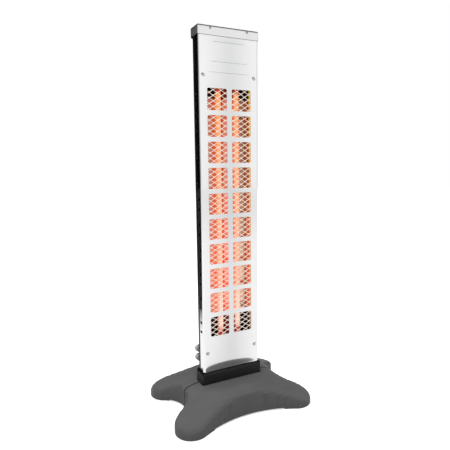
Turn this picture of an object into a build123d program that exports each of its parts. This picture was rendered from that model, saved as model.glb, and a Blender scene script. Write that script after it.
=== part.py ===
"""Free-standing infrared patio heater tower: a slim folded-sheet housing with two
upright quartz heating tubes behind an expanded-metal guard, standing in a collar on a
four-lobed moulded foot. Millimetres, +Z up, the front faces -Y, and the origin is on
the floor at the centre of the foot, in the plane where its two halves meet."""

from build123d import *
import os
from math import sqrt, sin, cos, tan, radians

os.makedirs("parts", exist_ok=True)

# ---------------------------------------------------------------- driving dimensions
# Foot: four round lobes joined by hollow curves, under a crowned top
foot_height = 81.0
lobe_x = 186.0
lobe_y = 124.0
lobe_radius = 53.0
front_hollow_radius = 353.0
side_hollow_radius = 86.0
crown_knee_radius = 128.0
crown_blend_radius = 170.0
crown_slope = 20.8
crown_reach = 285.0
rim_chamfer = 5.0
foot_wall = 3.5
foot_rim_height = 1.5
relief_height = 5.0
front_relief_length = 250.0
side_relief_length = 130.0
seam_gap = 0.4
rib_thickness = 2.5
rib_floor = 12.0
inner_rib_x = 58.0
outer_rib_x = 130.0
seam_screw_x = 105.0
seam_screw_z = 45.0
pad_x = 196.0
pad_y = 134.0
pad_radius = 16.0
pad_thickness = 4.0
pad_boss_radius = 20.0

# Collar that holds the tower on the foot
collar_rise = 37.0
collar_gap = 2.0
collar_wall = 6.0
collar_floor = 3.0
collar_corner = 8.0
collar_rim = 1.5

# Housing: front channel of polished sheet, bevelled cover behind it
panel_width = 205.0
panel_sheet = 1.0
panel_bend = 2.0
front_offset = 25.0
return_depth = 26.0
rear_offset = 38.0
cover_sheet = 1.0
cover_bevel = 20.0
cover_bend = 2.0
cover_lap = 3.0
cover_gap = 0.3
lower_blank = 158.0
upper_blank = 180.0
cap_clearance = 0.5

# Windows in the front, and the air slots in its returns
window_rows = 10
row_pitch = 80.0
window_width = 66.5
window_height = 65.5
window_corner = 3.0
column_pitch = 83.5
vent_length = 16.0
vent_height = 9.0
vent_corner = 2.6
vent_spread = 31.2
vent_inset = 14.5

# Pressed louvres above the windows: a width and a height each, and the drop of the
# lower lip below the top of the tower
louvre_depth = 3.0
louvre_lip = 0.8
louvre_end_slope = 5.0
top_louvre_width = 106.0
top_louvre_height = 12.0
top_louvre_drop = 45.0
middle_louvre_width = 127.0
middle_louvre_height = 12.0
middle_louvre_drop = 102.5
bottom_louvre_width = 141.0
bottom_louvre_height = 20.0
bottom_louvre_drop = 133.5

# Rear vents
rear_vent_width = 70.0
rear_vent_height = 4.0
rear_vent_pitch = 10.0
rear_vent_rows = 6
upper_rear_vent_drop = 97.0
lower_rear_vent_rise = 170.0

# Cap
cap_height = 27.5
cap_sheet = 1.0
cap_gap = 0.2
cap_bevel = 11.0
cap_edge = 1.0
cap_screw_pitch = 124.0
cap_screw_drop = 8.0

# Guard
mesh_thickness = 1.5
mesh_lap = 8.0
mesh_width = 190.0
strand_width = 2.6
diamond_length = 60.0
diamond_height = 39.0
mesh_columns = 2
mesh_rows = 21

# Heating tubes and their fittings
lamp_pitch = 62.0
lamp_depth = 17.7
tube_radius = 9.0
tube_wall = 1.2
tube_fit = 0.15
coil_radius = 6.5
coil_inset = 8.5
lead_width = 3.0
lead_thickness = 0.8
ceramic_radius = 13.0
ceramic_reach = 14.0
ceramic_tail = 10.0
ceramic_seat = 3.0
neck_radius = 10.2
blade_width = 6.3
blade_thickness = 0.8
blade_length = 10.0
blade_fit = 0.1

# Sheet-steel brackets that cross the housing at the ends of the tubes
bracket_sheet = 1.5
bracket_gap = 20.0
bracket_side_gap = 0.5
slot_fit = 0.3
lower_screw_drop = 56.3
upper_screw_rise = 38.5
screw_edge = 12.0
front_tab_inner = 46.0
rear_tab_width = 120.0
rear_screw_pitch = 84.0

# Reflector behind the tubes
reflector_sheet = 0.8
reflector_rear = 7.4
reflector_front = 20.0
reflector_floor_width = 156.0
reflector_mouth_width = 164.0
reflector_lip = 6.0

# Push switches on the left rear bevel; heights are above the bevel's outer face
switch_low = 72.0
switch_pitch = 31.0
dome_radius = 11.75
dome_wall = 2.0
dome_straight = 3.4
dome_rest = 4.6
dome_ceiling = 9.0
dome_first_cut = 6.5
dome_second_cut = 2.2
bezel_radius = 13.8
bezel_height = 7.0
bezel_floor = 1.2
moving_gap = 0.3
bushing_radius = 7.9
bushing_rise = 4.0
bushing_fit = 0.1
stem_radius = 4.0
stem_reach = 6.0
switch_travel = 3.0
switch_block_width = 19.0
switch_block_height = 23.0
switch_block_depth = 22.0
switch_tag_length = 7.0

# Fasteners and their holes are prisms of a few sides, other small round things of more
fastener_sides = 8
round_sides = 12
m4_radius = 2.0
m4_head_radius = 3.8
m4_head_height = 2.2
m4_nut_flats = 7.0
m4_nut_height = 3.2
m6_radius = 3.0
m6_flats = 10.0
m6_head_height = 4.0
m6_nut_height = 5.0
hole_fit = 0.2
bolt_tail = 1.5
dimple_radius = 7.0
dimple_depth = 1.5
panel_screw_pitch = 174.0
panel_screw_length = 8.0
rear_screw_length = 7.0
cap_screw_length = 6.0

# Base of the tower and what stands on it
bottom_sheet = 1.5
bottom_flange = 14.0
bottom_flange_width = 150.0
anchor_pitch_x = 140.0
anchor_pitch_y = 26.0
tie_length = 170.0
tie_width = 80.0
tie_sheet = 3.0
gland_height = 51.0
gland_thread_radius = 7.8
gland_hole_radius = 8.0
gland_flange_radius = 11.0
gland_flange = 4.0
gland_cap = 10.0
gland_cap_radius = 9.0
gland_cap_edge = 1.5
gland_bore_radius = 3.5
gland_thread = 9.0
gland_nut_height = 4.0
terminal_block_x = -28.0
terminal_block_length = 56.0
terminal_block_width = 18.0
terminal_block_height = 16.0
terminal_pole_pitch = 17.0
terminal_well_width = 5.0
terminal_well_depth = 9.0
tilt_switch_x = 30.0
tilt_switch_length = 28.0
tilt_switch_width = 16.0
tilt_switch_height = 28.0
tilt_switch_edge = 2.0

# -------------------------------------------------------------------- derived places
field_height = (window_rows - 1) * row_pitch + window_height
field_bottom = foot_height + lower_blank
field_top = field_bottom + field_height
field_middle = (field_bottom + field_top) / 2
tower_top = field_top + upper_blank
sheet_bottom = foot_height + collar_floor
sheet_top = tower_top - cap_sheet - cap_clearance
sheet_height = sheet_top - sheet_bottom
front_face = -front_offset
front_inner = front_face + panel_sheet
mesh_rear = front_inner + mesh_thickness
panel_half = panel_width / 2
cover_half = panel_half - panel_sheet - cover_gap
cover_inner_half = cover_half - cover_sheet
return_edge = front_face + return_depth
rear_inner = rear_offset - cover_sheet
bevel_sum = cover_half + rear_offset - cover_bevel
bevel_inner_sum = bevel_sum - cover_sheet * sqrt(2)
lamp_x = lamp_pitch / 2
lamp_y = front_face + lamp_depth
lower_plate_top = field_bottom - bracket_gap
upper_plate_bottom = field_top + bracket_gap
lower_screw_z = field_bottom - lower_screw_drop
upper_screw_z = field_top + upper_screw_rise
collar_top = foot_height + collar_rise
switch_z = foot_height + switch_low


def front_at(y):
    """Upright plane at depth y that faces the front, with x right and z up."""
    return Plane.XZ.offset(-y)


def rear_at(y):
    """Upright plane at depth y that faces the rear, with z up."""
    return Plane((0, y, 0), x_dir=(-1, 0, 0), z_dir=(0, 1, 0))


def bevelled_outline(half, front, rear, corner_sum):
    """Corners of a housing section, square in front and bevelled behind, where
    corner_sum is x + y anywhere along the bevel."""
    side_y = corner_sum - half
    rear_x = corner_sum - rear
    return [
        (-half, front),
        (half, front),
        (half, side_y),
        (rear_x, rear),
        (-rear_x, rear),
        (-half, side_y),
    ]


def cut_corner_outline(width, height, cut):
    """Corners of a rectangle whose own corners are cut off by the given leg."""
    across = width / 2
    up = height / 2
    return [
        (across, up - cut),
        (across - cut, up),
        (cut - across, up),
        (-across, up - cut),
        (-across, cut - up),
        (cut - across, -up),
        (across - cut, -up),
        (across, cut - up),
    ]


def round_post(radius, mode=Mode.ADD):
    """Many-sided outline inside a circle, for the outside of a small round thing."""
    RegularPolygon(radius, round_sides, mode=mode)


def round_bore(radius, mode=Mode.SUBTRACT):
    """Many-sided outline around a circle, for a bore that clears a round thing."""
    RegularPolygon(radius, round_sides, major_radius=False, mode=mode)


def save(piece, label):
    """Name a finished piece and write it to its own file."""
    piece.part.label = label
    export_step(piece.part, f"parts/{label}.step")


# ------------------------------------------------------------------------- the foot
front_hollow_y = -lobe_y - sqrt((front_hollow_radius + lobe_radius) ** 2 - lobe_x**2)
side_hollow_x = lobe_x + sqrt((side_hollow_radius + lobe_radius) ** 2 - lobe_y**2)


def crown_body(top):
    """Everything under the crowned top: flat in the middle, then falling away
    through a blend that is turned as one narrow cone."""
    flat_radius = crown_knee_radius - crown_blend_radius * tan(radians(crown_slope / 2))
    blend_radius = flat_radius + crown_blend_radius * sin(radians(crown_slope))
    blend_drop = crown_blend_radius * (1 - cos(radians(crown_slope)))
    reach_drop = (crown_reach - crown_knee_radius) * tan(radians(crown_slope))
    with BuildPart() as crown:
        with BuildSketch(Plane.XZ):
            Polygon(
                (0, 0),
                (0, top),
                (flat_radius, top),
                (blend_radius, top - blend_drop),
                (crown_reach, top - reach_drop),
                (crown_reach, 0),
                align=None,
            )
        revolve(axis=Axis.Z)
    return crown.part


def front_block(inset, bottom, rim_edge):
    """Front half of the foot as a full block, drawn in by inset on every side. Its
    right quarter is made, with its rim cut off by rim_edge, and then mirrored."""
    radius = lobe_radius - inset
    front_reach = front_hollow_radius + inset
    side_reach = side_hollow_radius + inset
    lobe = Vector(lobe_x, -lobe_y)
    to_front = (Vector(0, front_hollow_y) - lobe).normalized() * radius
    to_side = (Vector(side_hollow_x, 0) - lobe).normalized() * radius
    to_tip = Vector(1, -1).normalized() * radius
    with BuildPart() as block:
        with BuildSketch(Plane.XY.offset(bottom)):
            with BuildLine():
                front = RadiusArc(
                    (0, front_hollow_y + front_reach), lobe + to_front, front_reach
                )
                ThreePointArc(lobe + to_front, lobe + to_tip, lobe + to_side)
                side = RadiusArc(lobe + to_side, (side_hollow_x - side_reach, 0), side_reach)
                Polyline(side @ 1, (0, 0), front @ 0)
            make_face()
        extrude(amount=foot_height)
        add(crown_body(foot_height - inset), mode=Mode.INTERSECT)
        if rim_edge:
            chamfer(edges().filter_by(GeomType.BSPLINE), rim_edge)
        mirror(about=Plane.YZ)
    return block.part


anchor_places = GridLocations(anchor_pitch_x, anchor_pitch_y, 2, 2)
tie_top = foot_height - foot_wall
foot_inside = front_block(foot_wall, 0, 0)

# Flange along the seam, ribs across the hollow and a boss over each rubber pad
with BuildPart() as foot_stiffening:
    with BuildSketch(Plane.XY.offset(rib_floor)):
        with Locations((0, -rib_thickness / 2 - seam_gap / 2)):
            Rectangle(2 * lobe_x, rib_thickness)
        for rib_x in (inner_rib_x, outer_rib_x):
            with Locations((rib_x, -lobe_y), (-rib_x, -lobe_y)):
                Rectangle(rib_thickness, 2 * lobe_y)
    extrude(amount=foot_height)
    with BuildSketch(Plane.XY.offset(pad_thickness)):
        with Locations((pad_x, -pad_y), (-pad_x, -pad_y)):
            RegularPolygon(pad_boss_radius, fastener_sides)
    extrude(amount=foot_height)
    add(foot_inside, mode=Mode.INTERSECT)

with BuildPart() as foot_front_half:
    add(front_block(0, foot_rim_height, rim_chamfer))
    add(foot_inside, mode=Mode.SUBTRACT)
    add(foot_stiffening.part)
    # the rim clears the floor between the lobes
    with BuildSketch(Plane.XY):
        with Locations((0, -lobe_y)):
            Rectangle(front_relief_length, 2 * lobe_radius)
        Rectangle(2 * lobe_x + lobe_radius, side_relief_length)
    extrude(amount=relief_height, mode=Mode.SUBTRACT)
    # the halves stop short of each other
    with BuildSketch(Plane.XY):
        with Locations((0, lobe_y - seam_gap / 2)):
            Rectangle(3 * lobe_x, 2 * lobe_y)
    extrude(amount=foot_height, mode=Mode.SUBTRACT)
    # room for the tie plate under the flat of the crown, and holes for the bolts
    with BuildSketch(Plane.XY.offset(tie_top - tie_sheet)):
        Rectangle(tie_length + 1, tie_width + 1)
    extrude(amount=tie_sheet, mode=Mode.SUBTRACT)
    with BuildSketch(Plane.XY.offset(tie_top)):
        with anchor_places:
            RegularPolygon(m6_radius + hole_fit, fastener_sides)
    extrude(amount=2 * foot_wall, mode=Mode.SUBTRACT)
    with BuildSketch(front_at(0)):
        with Locations((seam_screw_x, seam_screw_z), (-seam_screw_x, seam_screw_z)):
            RegularPolygon(m4_radius + hole_fit, fastener_sides)
    extrude(amount=2 * rib_thickness, mode=Mode.SUBTRACT)
save(foot_front_half, "foot_front_half")

with BuildPart() as foot_rear_half:
    mirror(foot_front_half.part, about=Plane.XZ)
save(foot_rear_half, "foot_rear_half")

# Rubber pads under the four lobes
with BuildPart() as foot_pads:
    with BuildSketch(Plane.XY):
        with GridLocations(2 * pad_x, 2 * pad_y, 2, 2):
            round_post(pad_radius)
    extrude(amount=pad_thickness)
save(foot_pads, "foot_pads")

seam_flange_face = seam_gap / 2 + rib_thickness
with BuildPart() as seam_screws:
    with BuildSketch(front_at(-seam_flange_face)):
        with Locations((seam_screw_x, seam_screw_z), (-seam_screw_x, seam_screw_z)):
            RegularPolygon(m4_head_radius, fastener_sides)
    extrude(amount=m4_head_height)
    with BuildSketch(front_at(-seam_flange_face)):
        with Locations((seam_screw_x, seam_screw_z), (-seam_screw_x, seam_screw_z)):
            RegularPolygon(m4_radius, fastener_sides)
    extrude(amount=-(2 * seam_flange_face + m4_nut_height + bolt_tail))
save(seam_screws, "seam_screws")

with BuildPart() as seam_nuts:
    with BuildSketch(rear_at(seam_flange_face)):
        with Locations((seam_screw_x, seam_screw_z), (-seam_screw_x, seam_screw_z)):
            RegularPolygon(m4_nut_flats / 2, 6, major_radius=False)
            RegularPolygon(m4_radius, fastener_sides, mode=Mode.SUBTRACT)
    extrude(amount=m4_nut_height)
save(seam_nuts, "seam_nuts")

# --------------------------------------------------- what holds the tower on the foot
with BuildPart() as tie_plate:
    with BuildSketch(Plane.XY.offset(tie_top - tie_sheet)):
        Rectangle(tie_length, tie_width)
        with anchor_places:
            RegularPolygon(m6_radius + hole_fit, fastener_sides, mode=Mode.SUBTRACT)
    extrude(amount=tie_sheet)
save(tie_plate, "tie_plate")

collar_inner = bevelled_outline(
    panel_half + collar_gap,
    front_face - collar_gap,
    rear_offset + collar_gap,
    bevel_sum + collar_gap * sqrt(2),
)
collar_outer = bevelled_outline(
    panel_half + collar_gap + collar_wall,
    front_face - collar_gap - collar_wall,
    rear_offset + collar_gap + collar_wall,
    bevel_sum + (collar_gap + collar_wall) * sqrt(2),
)
with BuildPart() as collar:
    with BuildSketch(Plane.XY.offset(foot_height - foot_wall)):
        Polygon(*collar_outer, align=None)
        fillet(vertices().group_by(Axis.Y)[0], collar_corner)
    extrude(amount=collar_rise + foot_wall)
    chamfer(faces().sort_by(Axis.Z)[-1].edges(), collar_rim)
    with BuildSketch(Plane.XY.offset(sheet_bottom)):
        Polygon(*collar_inner, align=None)
    extrude(amount=collar_rise, mode=Mode.SUBTRACT)
    with BuildSketch(Plane.XY):
        with anchor_places:
            RegularPolygon(m6_radius + hole_fit, fastener_sides)
    extrude(amount=collar_top, mode=Mode.SUBTRACT)
    add(crown_body(foot_height), mode=Mode.SUBTRACT)
save(collar, "collar")

bottom_plate_top = sheet_bottom + bottom_sheet
bracket_half = cover_inner_half - bracket_side_gap
bracket_sum = bevel_inner_sum - bracket_side_gap * sqrt(2)
with BuildPart() as bottom_plate:
    with BuildSketch(Plane.XY.offset(sheet_bottom)):
        Polygon(*bevelled_outline(bracket_half, front_inner, rear_inner, bracket_sum), align=None)
        with anchor_places:
            RegularPolygon(m6_radius + hole_fit, fastener_sides, mode=Mode.SUBTRACT)
    extrude(amount=bottom_sheet)
    for face, side in ((front_inner, Align.MIN), (rear_inner, Align.MAX)):
        with Locations((0, face, sheet_bottom)):
            Box(bottom_flange_width, bottom_sheet, bottom_flange, align=(Align.CENTER, side, Align.MIN))
save(bottom_plate, "bottom_plate")

with BuildPart() as anchor_bolts:
    with BuildSketch(Plane.XY.offset(bottom_plate_top)):
        with anchor_places:
            RegularPolygon(m6_flats / 2, 6, major_radius=False)
    extrude(amount=m6_head_height)
    with BuildSketch(Plane.XY.offset(bottom_plate_top)):
        with anchor_places:
            RegularPolygon(m6_radius, fastener_sides)
    extrude(amount=-(bottom_plate_top - tie_top + tie_sheet + m6_nut_height + bolt_tail))
save(anchor_bolts, "anchor_bolts")

with BuildPart() as anchor_nuts:
    with BuildSketch(Plane.XY.offset(tie_top - tie_sheet - m6_nut_height)):
        with anchor_places:
            RegularPolygon(m6_flats / 2, 6, major_radius=False)
            RegularPolygon(m6_radius, fastener_sides, mode=Mode.SUBTRACT)
    extrude(amount=m6_nut_height)
save(anchor_nuts, "anchor_nuts")

# ---------------------------------------------------------------------- the housing
panel_screw_places = [
    (x, z)
    for x in (-panel_screw_pitch / 2, panel_screw_pitch / 2)
    for z in (lower_screw_z, upper_screw_z)
]
rear_screw_places = [
    (x, z)
    for x in (-rear_screw_pitch / 2, rear_screw_pitch / 2)
    for z in (lower_screw_z, upper_screw_z)
]
cap_screw_places = [
    (x, tower_top - cap_screw_drop) for x in (-cap_screw_pitch / 2, cap_screw_pitch / 2)
]
louvres = [
    (top_louvre_width, top_louvre_height, top_louvre_drop),
    (middle_louvre_width, middle_louvre_height, middle_louvre_drop),
    (bottom_louvre_width, bottom_louvre_height, bottom_louvre_drop),
]


def louvre_wedge(width, height, depth, mode):
    """Hood that leans out to its lower lip, with its ends leaning in."""
    Wedge(
        width,
        depth,
        height,
        louvre_end_slope,
        0,
        width - louvre_end_slope,
        louvre_lip,
        rotation=(0, 0, 180),
        align=(Align.CENTER, Align.MIN, Align.MIN),
        mode=mode,
    )


with BuildPart() as front_panel:
    with BuildSketch(Plane.XY.offset(sheet_bottom)):
        with BuildLine():
            FilletPolyline(
                (-panel_half, return_edge),
                (-panel_half, front_face),
                (panel_half, front_face),
                (panel_half, return_edge),
                radius=panel_bend,
            )
            offset(amount=panel_sheet, side=Side.LEFT)
        make_face()
    extrude(amount=sheet_height)
    with BuildSketch(front_at(front_face)):
        with Locations((0, field_middle)):
            with GridLocations(column_pitch, row_pitch, 2, window_rows):
                Polygon(*cut_corner_outline(window_width, window_height, window_corner))
    extrude(amount=-2 * panel_sheet, mode=Mode.SUBTRACT)
    with BuildSketch(Plane.YZ):
        with Locations((front_face + vent_inset, field_middle)):
            with GridLocations(0, row_pitch, 1, window_rows):
                with GridLocations(0, vent_spread, 1, 2):
                    Polygon(*cut_corner_outline(vent_length, vent_height, vent_corner))
    extrude(amount=panel_width, both=True, mode=Mode.SUBTRACT)
    for width, height, drop in louvres:
        with Locations((0, front_face, tower_top - drop)):
            louvre_wedge(width, height, louvre_depth, Mode.ADD)
        with Locations((0, front_inner, tower_top - drop)):
            louvre_wedge(width - 2 * panel_sheet, height - panel_sheet, louvre_depth, Mode.SUBTRACT)
    with BuildSketch(rear_at(front_inner)):
        with Locations(*panel_screw_places):
            RegularPolygon(dimple_radius + panel_sheet, fastener_sides)
    extrude(amount=dimple_depth)
    with BuildSketch(rear_at(front_face)):
        with Locations(*panel_screw_places):
            RegularPolygon(dimple_radius, fastener_sides)
    extrude(amount=dimple_depth, mode=Mode.SUBTRACT)
    with BuildSketch(front_at(front_face)):
        with Locations(*panel_screw_places, *cap_screw_places):
            RegularPolygon(m4_radius + hole_fit, fastener_sides)
    extrude(amount=-(dimple_depth + 2 * panel_sheet), mode=Mode.SUBTRACT)
save(front_panel, "front_panel")

bevel_x = cover_half - cover_bevel / 2
bevel_y = rear_offset - cover_bevel / 2
bevel_out = Vector(-1, 1, 0).normalized()
bevel_axis = Axis((0, 0, 0), tuple(bevel_out))


def bevel_plane(height, z):
    """Plane square to the left rear bevel, at a height above it, facing outwards."""
    centre = Vector(-bevel_x, bevel_y, z) + bevel_out * height
    return Plane(centre, x_dir=(0, 0, 1), z_dir=bevel_out)


switch_levels = {"lower": switch_z, "upper": switch_z + switch_pitch}
bushing_hole_radius = bushing_radius + bushing_fit
gland_z = foot_height + gland_height

with BuildPart() as rear_cover:
    with BuildSketch(Plane.XY.offset(sheet_bottom)):
        with BuildLine():
            FilletPolyline(
                (-cover_half, return_edge - cover_lap),
                (-cover_half, rear_offset - cover_bevel),
                (-cover_half + cover_bevel, rear_offset),
                (cover_half - cover_bevel, rear_offset),
                (cover_half, rear_offset - cover_bevel),
                (cover_half, return_edge - cover_lap),
                radius=cover_bend,
            )
            offset(amount=cover_sheet, side=Side.RIGHT)
        make_face()
    extrude(amount=sheet_height)
    with BuildSketch(rear_at(rear_offset)):
        with Locations((0, tower_top - upper_rear_vent_drop), (0, sheet_bottom + lower_rear_vent_rise)):
            with GridLocations(0, rear_vent_pitch, 1, rear_vent_rows):
                Rectangle(rear_vent_width, rear_vent_height)
        with Locations(*rear_screw_places):
            RegularPolygon(m4_radius + hole_fit, fastener_sides)
        with Locations((0, gland_z)):
            round_bore(gland_hole_radius, Mode.ADD)
    extrude(amount=-2 * cover_sheet, mode=Mode.SUBTRACT)
    for level in switch_levels.values():
        with BuildSketch(bevel_plane(cover_sheet, level)):
            round_bore(bushing_hole_radius, Mode.ADD)
        extrude(amount=-3 * cover_sheet, mode=Mode.SUBTRACT)
save(rear_cover, "rear_cover")

cap_half = panel_half + cap_gap + cap_sheet
cap_front = front_face - cap_sheet
cap_rear = rear_offset + cap_gap + cap_sheet
cap_sum = cap_half + cap_rear - cap_bevel
with BuildPart() as top_cap:
    with BuildSketch(Plane.XY.offset(tower_top - cap_height)):
        Polygon(*bevelled_outline(cap_half, cap_front, cap_rear, cap_sum), align=None)
    extrude(amount=cap_height)
    chamfer(faces().sort_by(Axis.Z)[-1].edges(), cap_edge)
    with BuildSketch(Plane.XY.offset(tower_top - cap_height)):
        Polygon(
            *bevelled_outline(
                cap_half - cap_sheet,
                cap_front + cap_sheet,
                cap_rear - cap_sheet,
                cap_sum - cap_sheet * sqrt(2),
            ),
            align=None,
        )
    extrude(amount=cap_height - cap_sheet, mode=Mode.SUBTRACT)
    with BuildSketch(front_at(cap_front)):
        with Locations(*cap_screw_places):
            RegularPolygon(m4_radius + hole_fit, fastener_sides)
    extrude(amount=-2 * cap_sheet, mode=Mode.SUBTRACT)
save(top_cap, "top_cap")


def pan_screws(face, places, length):
    """Pan-head screws whose heads bear on a plane, at places given in that plane."""
    with BuildPart() as screws:
        with BuildSketch(face):
            with Locations(*places):
                RegularPolygon(m4_head_radius, fastener_sides)
        extrude(amount=m4_head_height)
        with BuildSketch(face):
            with Locations(*places):
                RegularPolygon(m4_radius, fastener_sides)
        extrude(amount=-length)
    return screws


panel_screws = pan_screws(
    front_at(front_face + dimple_depth), panel_screw_places, panel_screw_length
)
save(panel_screws, "panel_screws")
cap_screws = pan_screws(front_at(cap_front), cap_screw_places, cap_screw_length)
save(cap_screws, "cap_screws")
rear_screws = pan_screws(rear_at(rear_offset), rear_screw_places, rear_screw_length)
save(rear_screws, "rear_screws")

# ------------------------------------------------------ guard, brackets and reflector
mesh_bottom = lower_plate_top - mesh_lap
mesh_top = upper_plate_bottom + mesh_lap
half_diagonal = sqrt(diamond_length**2 + diamond_height**2) / 2
cell_inradius = diamond_length * diamond_height / 4 / half_diagonal
hole_share = 1 - strand_width / 2 / cell_inradius
hole_x = hole_share * diamond_length / 2
hole_z = hole_share * diamond_height / 2
with BuildPart() as guard_mesh:
    with BuildSketch(front_at(front_inner)):
        with Locations((0, (mesh_bottom + mesh_top) / 2)):
            Rectangle(mesh_width, mesh_top - mesh_bottom)
        with Locations((0, field_middle)):
            with GridLocations(diamond_length, diamond_height, mesh_columns, mesh_rows):
                Polygon((hole_x, 0), (0, hole_z), (-hole_x, 0), (0, -hole_z), mode=Mode.SUBTRACT)
            with GridLocations(diamond_length, diamond_height, mesh_columns + 1, mesh_rows - 1):
                Polygon((hole_x, 0), (0, hole_z), (-hole_x, 0), (0, -hole_z), mode=Mode.SUBTRACT)
    extrude(amount=-mesh_thickness)
save(guard_mesh, "guard_mesh")


def cross_bracket(face_z, end_z, screw_z):
    """Plate across the housing with its face at face_z, slotted from the front for the
    ceramic caps, with two front tabs and a rear tab that reach to end_z."""
    up = end_z > face_z
    stand = Align.MIN if up else Align.MAX
    tab_height = abs(end_z - face_z)
    tab_width = bracket_half - front_tab_inner
    with BuildPart() as bracket:
        with BuildSketch(Plane.XY.offset(face_z)):
            Polygon(*bevelled_outline(bracket_half, mesh_rear, rear_inner, bracket_sum), align=None)
            with Locations((-lamp_x, lamp_y), (lamp_x, lamp_y)):
                round_bore(neck_radius + slot_fit)
                Rectangle(
                    2 * (neck_radius + slot_fit),
                    lamp_y - mesh_rear,
                    align=(Align.CENTER, Align.MAX),
                    mode=Mode.SUBTRACT,
                )
        extrude(amount=bracket_sheet if up else -bracket_sheet)
        with Locations((-front_tab_inner, mesh_rear, face_z)):
            Box(tab_width, bracket_sheet, tab_height, align=(Align.MAX, Align.MIN, stand))
        with Locations((front_tab_inner, mesh_rear, face_z)):
            Box(tab_width, bracket_sheet, tab_height, align=(Align.MIN, Align.MIN, stand))
        with Locations((0, rear_inner, face_z)):
            Box(rear_tab_width, bracket_sheet, tab_height, align=(Align.CENTER, Align.MAX, stand))
        with BuildSketch(front_at(mesh_rear)):
            with Locations((-panel_screw_pitch / 2, screw_z), (panel_screw_pitch / 2, screw_z)):
                RegularPolygon(m4_radius + hole_fit, fastener_sides)
        extrude(amount=-2 * bracket_sheet, mode=Mode.SUBTRACT)
        with BuildSketch(rear_at(rear_inner)):
            with Locations((-rear_screw_pitch / 2, screw_z), (rear_screw_pitch / 2, screw_z)):
                RegularPolygon(m4_radius + hole_fit, fastener_sides)
        extrude(amount=-2 * bracket_sheet, mode=Mode.SUBTRACT)
    return bracket


lower_bracket = cross_bracket(lower_plate_top, lower_screw_z - screw_edge, lower_screw_z)
save(lower_bracket, "lower_bracket")
upper_bracket = cross_bracket(upper_plate_bottom, upper_screw_z + screw_edge, upper_screw_z)
save(upper_bracket, "upper_bracket")

with BuildPart() as reflector:
    with BuildSketch(Plane.XY.offset(lower_plate_top)):
        with BuildLine():
            Polyline(
                (-reflector_mouth_width / 2 - reflector_lip, -reflector_front),
                (-reflector_mouth_width / 2, -reflector_front),
                (-reflector_floor_width / 2, reflector_rear),
                (reflector_floor_width / 2, reflector_rear),
                (reflector_mouth_width / 2, -reflector_front),
                (reflector_mouth_width / 2 + reflector_lip, -reflector_front),
            )
            offset(amount=reflector_sheet, side=Side.LEFT)
        make_face()
    extrude(amount=upper_plate_bottom - lower_plate_top)
save(reflector, "reflector")

# ----------------------------------------------------------------- the heating tubes
tube_bottom = lower_plate_top + ceramic_seat
tube_top = upper_plate_bottom - ceramic_seat
coil_bottom = field_bottom + coil_inset
coil_top = field_top - coil_inset
blade_low_end = lower_plate_top - bracket_sheet - ceramic_tail - blade_length
blade_high_end = upper_plate_bottom + bracket_sheet + ceramic_tail + blade_length


def ceramic_cap(x, face_z, toward_tube):
    """Ceramic that closes one end of a tube: a cup over the tube, a neck in the
    bracket's slot and a tail behind it. toward_tube is the step in z to the tube."""
    grip = face_z - toward_tube * bracket_sheet
    with BuildPart() as cap:
        with BuildSketch(Plane((x, lamp_y, face_z))):
            round_post(ceramic_radius)
        extrude(amount=toward_tube * ceramic_reach)
        with BuildSketch(Plane((x, lamp_y, grip))):
            round_post(neck_radius)
        extrude(amount=toward_tube * bracket_sheet)
        with BuildSketch(Plane((x, lamp_y, grip))):
            round_post(ceramic_radius)
        extrude(amount=-toward_tube * ceramic_tail)
        with BuildSketch(Plane((x, lamp_y, face_z + toward_tube * ceramic_seat))):
            round_bore(tube_radius + tube_fit, Mode.ADD)
        extrude(amount=toward_tube * ceramic_reach, mode=Mode.SUBTRACT)
        with BuildSketch(Plane((x, lamp_y, face_z))):
            Rectangle(blade_width + 2 * blade_fit, blade_thickness + 2 * blade_fit)
        extrude(amount=ceramic_reach, both=True, mode=Mode.SUBTRACT)
    return cap


def terminal_blade(x, inner_z, outer_z):
    """Flat brass blade that the coil's lead ends on, out through the ceramic."""
    with BuildPart() as blade:
        with BuildSketch(Plane((x, lamp_y, inner_z))):
            Rectangle(blade_width, blade_thickness)
        extrude(amount=outer_z - inner_z)
    return blade


for side, x in (("left", -lamp_x), ("right", lamp_x)):
    with BuildPart() as heating_tube:
        with BuildSketch(Plane((x, lamp_y, tube_bottom))):
            Circle(tube_radius)
            Circle(tube_radius - tube_wall, mode=Mode.SUBTRACT)
        extrude(amount=tube_top - tube_bottom)
    save(heating_tube, f"heating_tube_{side}")

    with BuildPart() as heating_coil:
        with BuildSketch(Plane((x, lamp_y, coil_bottom))):
            Circle(coil_radius)
        extrude(amount=coil_top - coil_bottom)
        with BuildSketch(Plane((x, lamp_y, tube_bottom))):
            Rectangle(lead_width, lead_thickness)
        extrude(amount=tube_top - tube_bottom)
    save(heating_coil, f"heating_coil_{side}")

    save(ceramic_cap(x, lower_plate_top, 1), f"ceramic_cap_lower_{side}")
    save(ceramic_cap(x, upper_plate_bottom, -1), f"ceramic_cap_upper_{side}")
    save(terminal_blade(x, tube_bottom, blade_low_end), f"terminal_blade_lower_{side}")
    save(terminal_blade(x, tube_top, blade_high_end), f"terminal_blade_upper_{side}")

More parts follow.
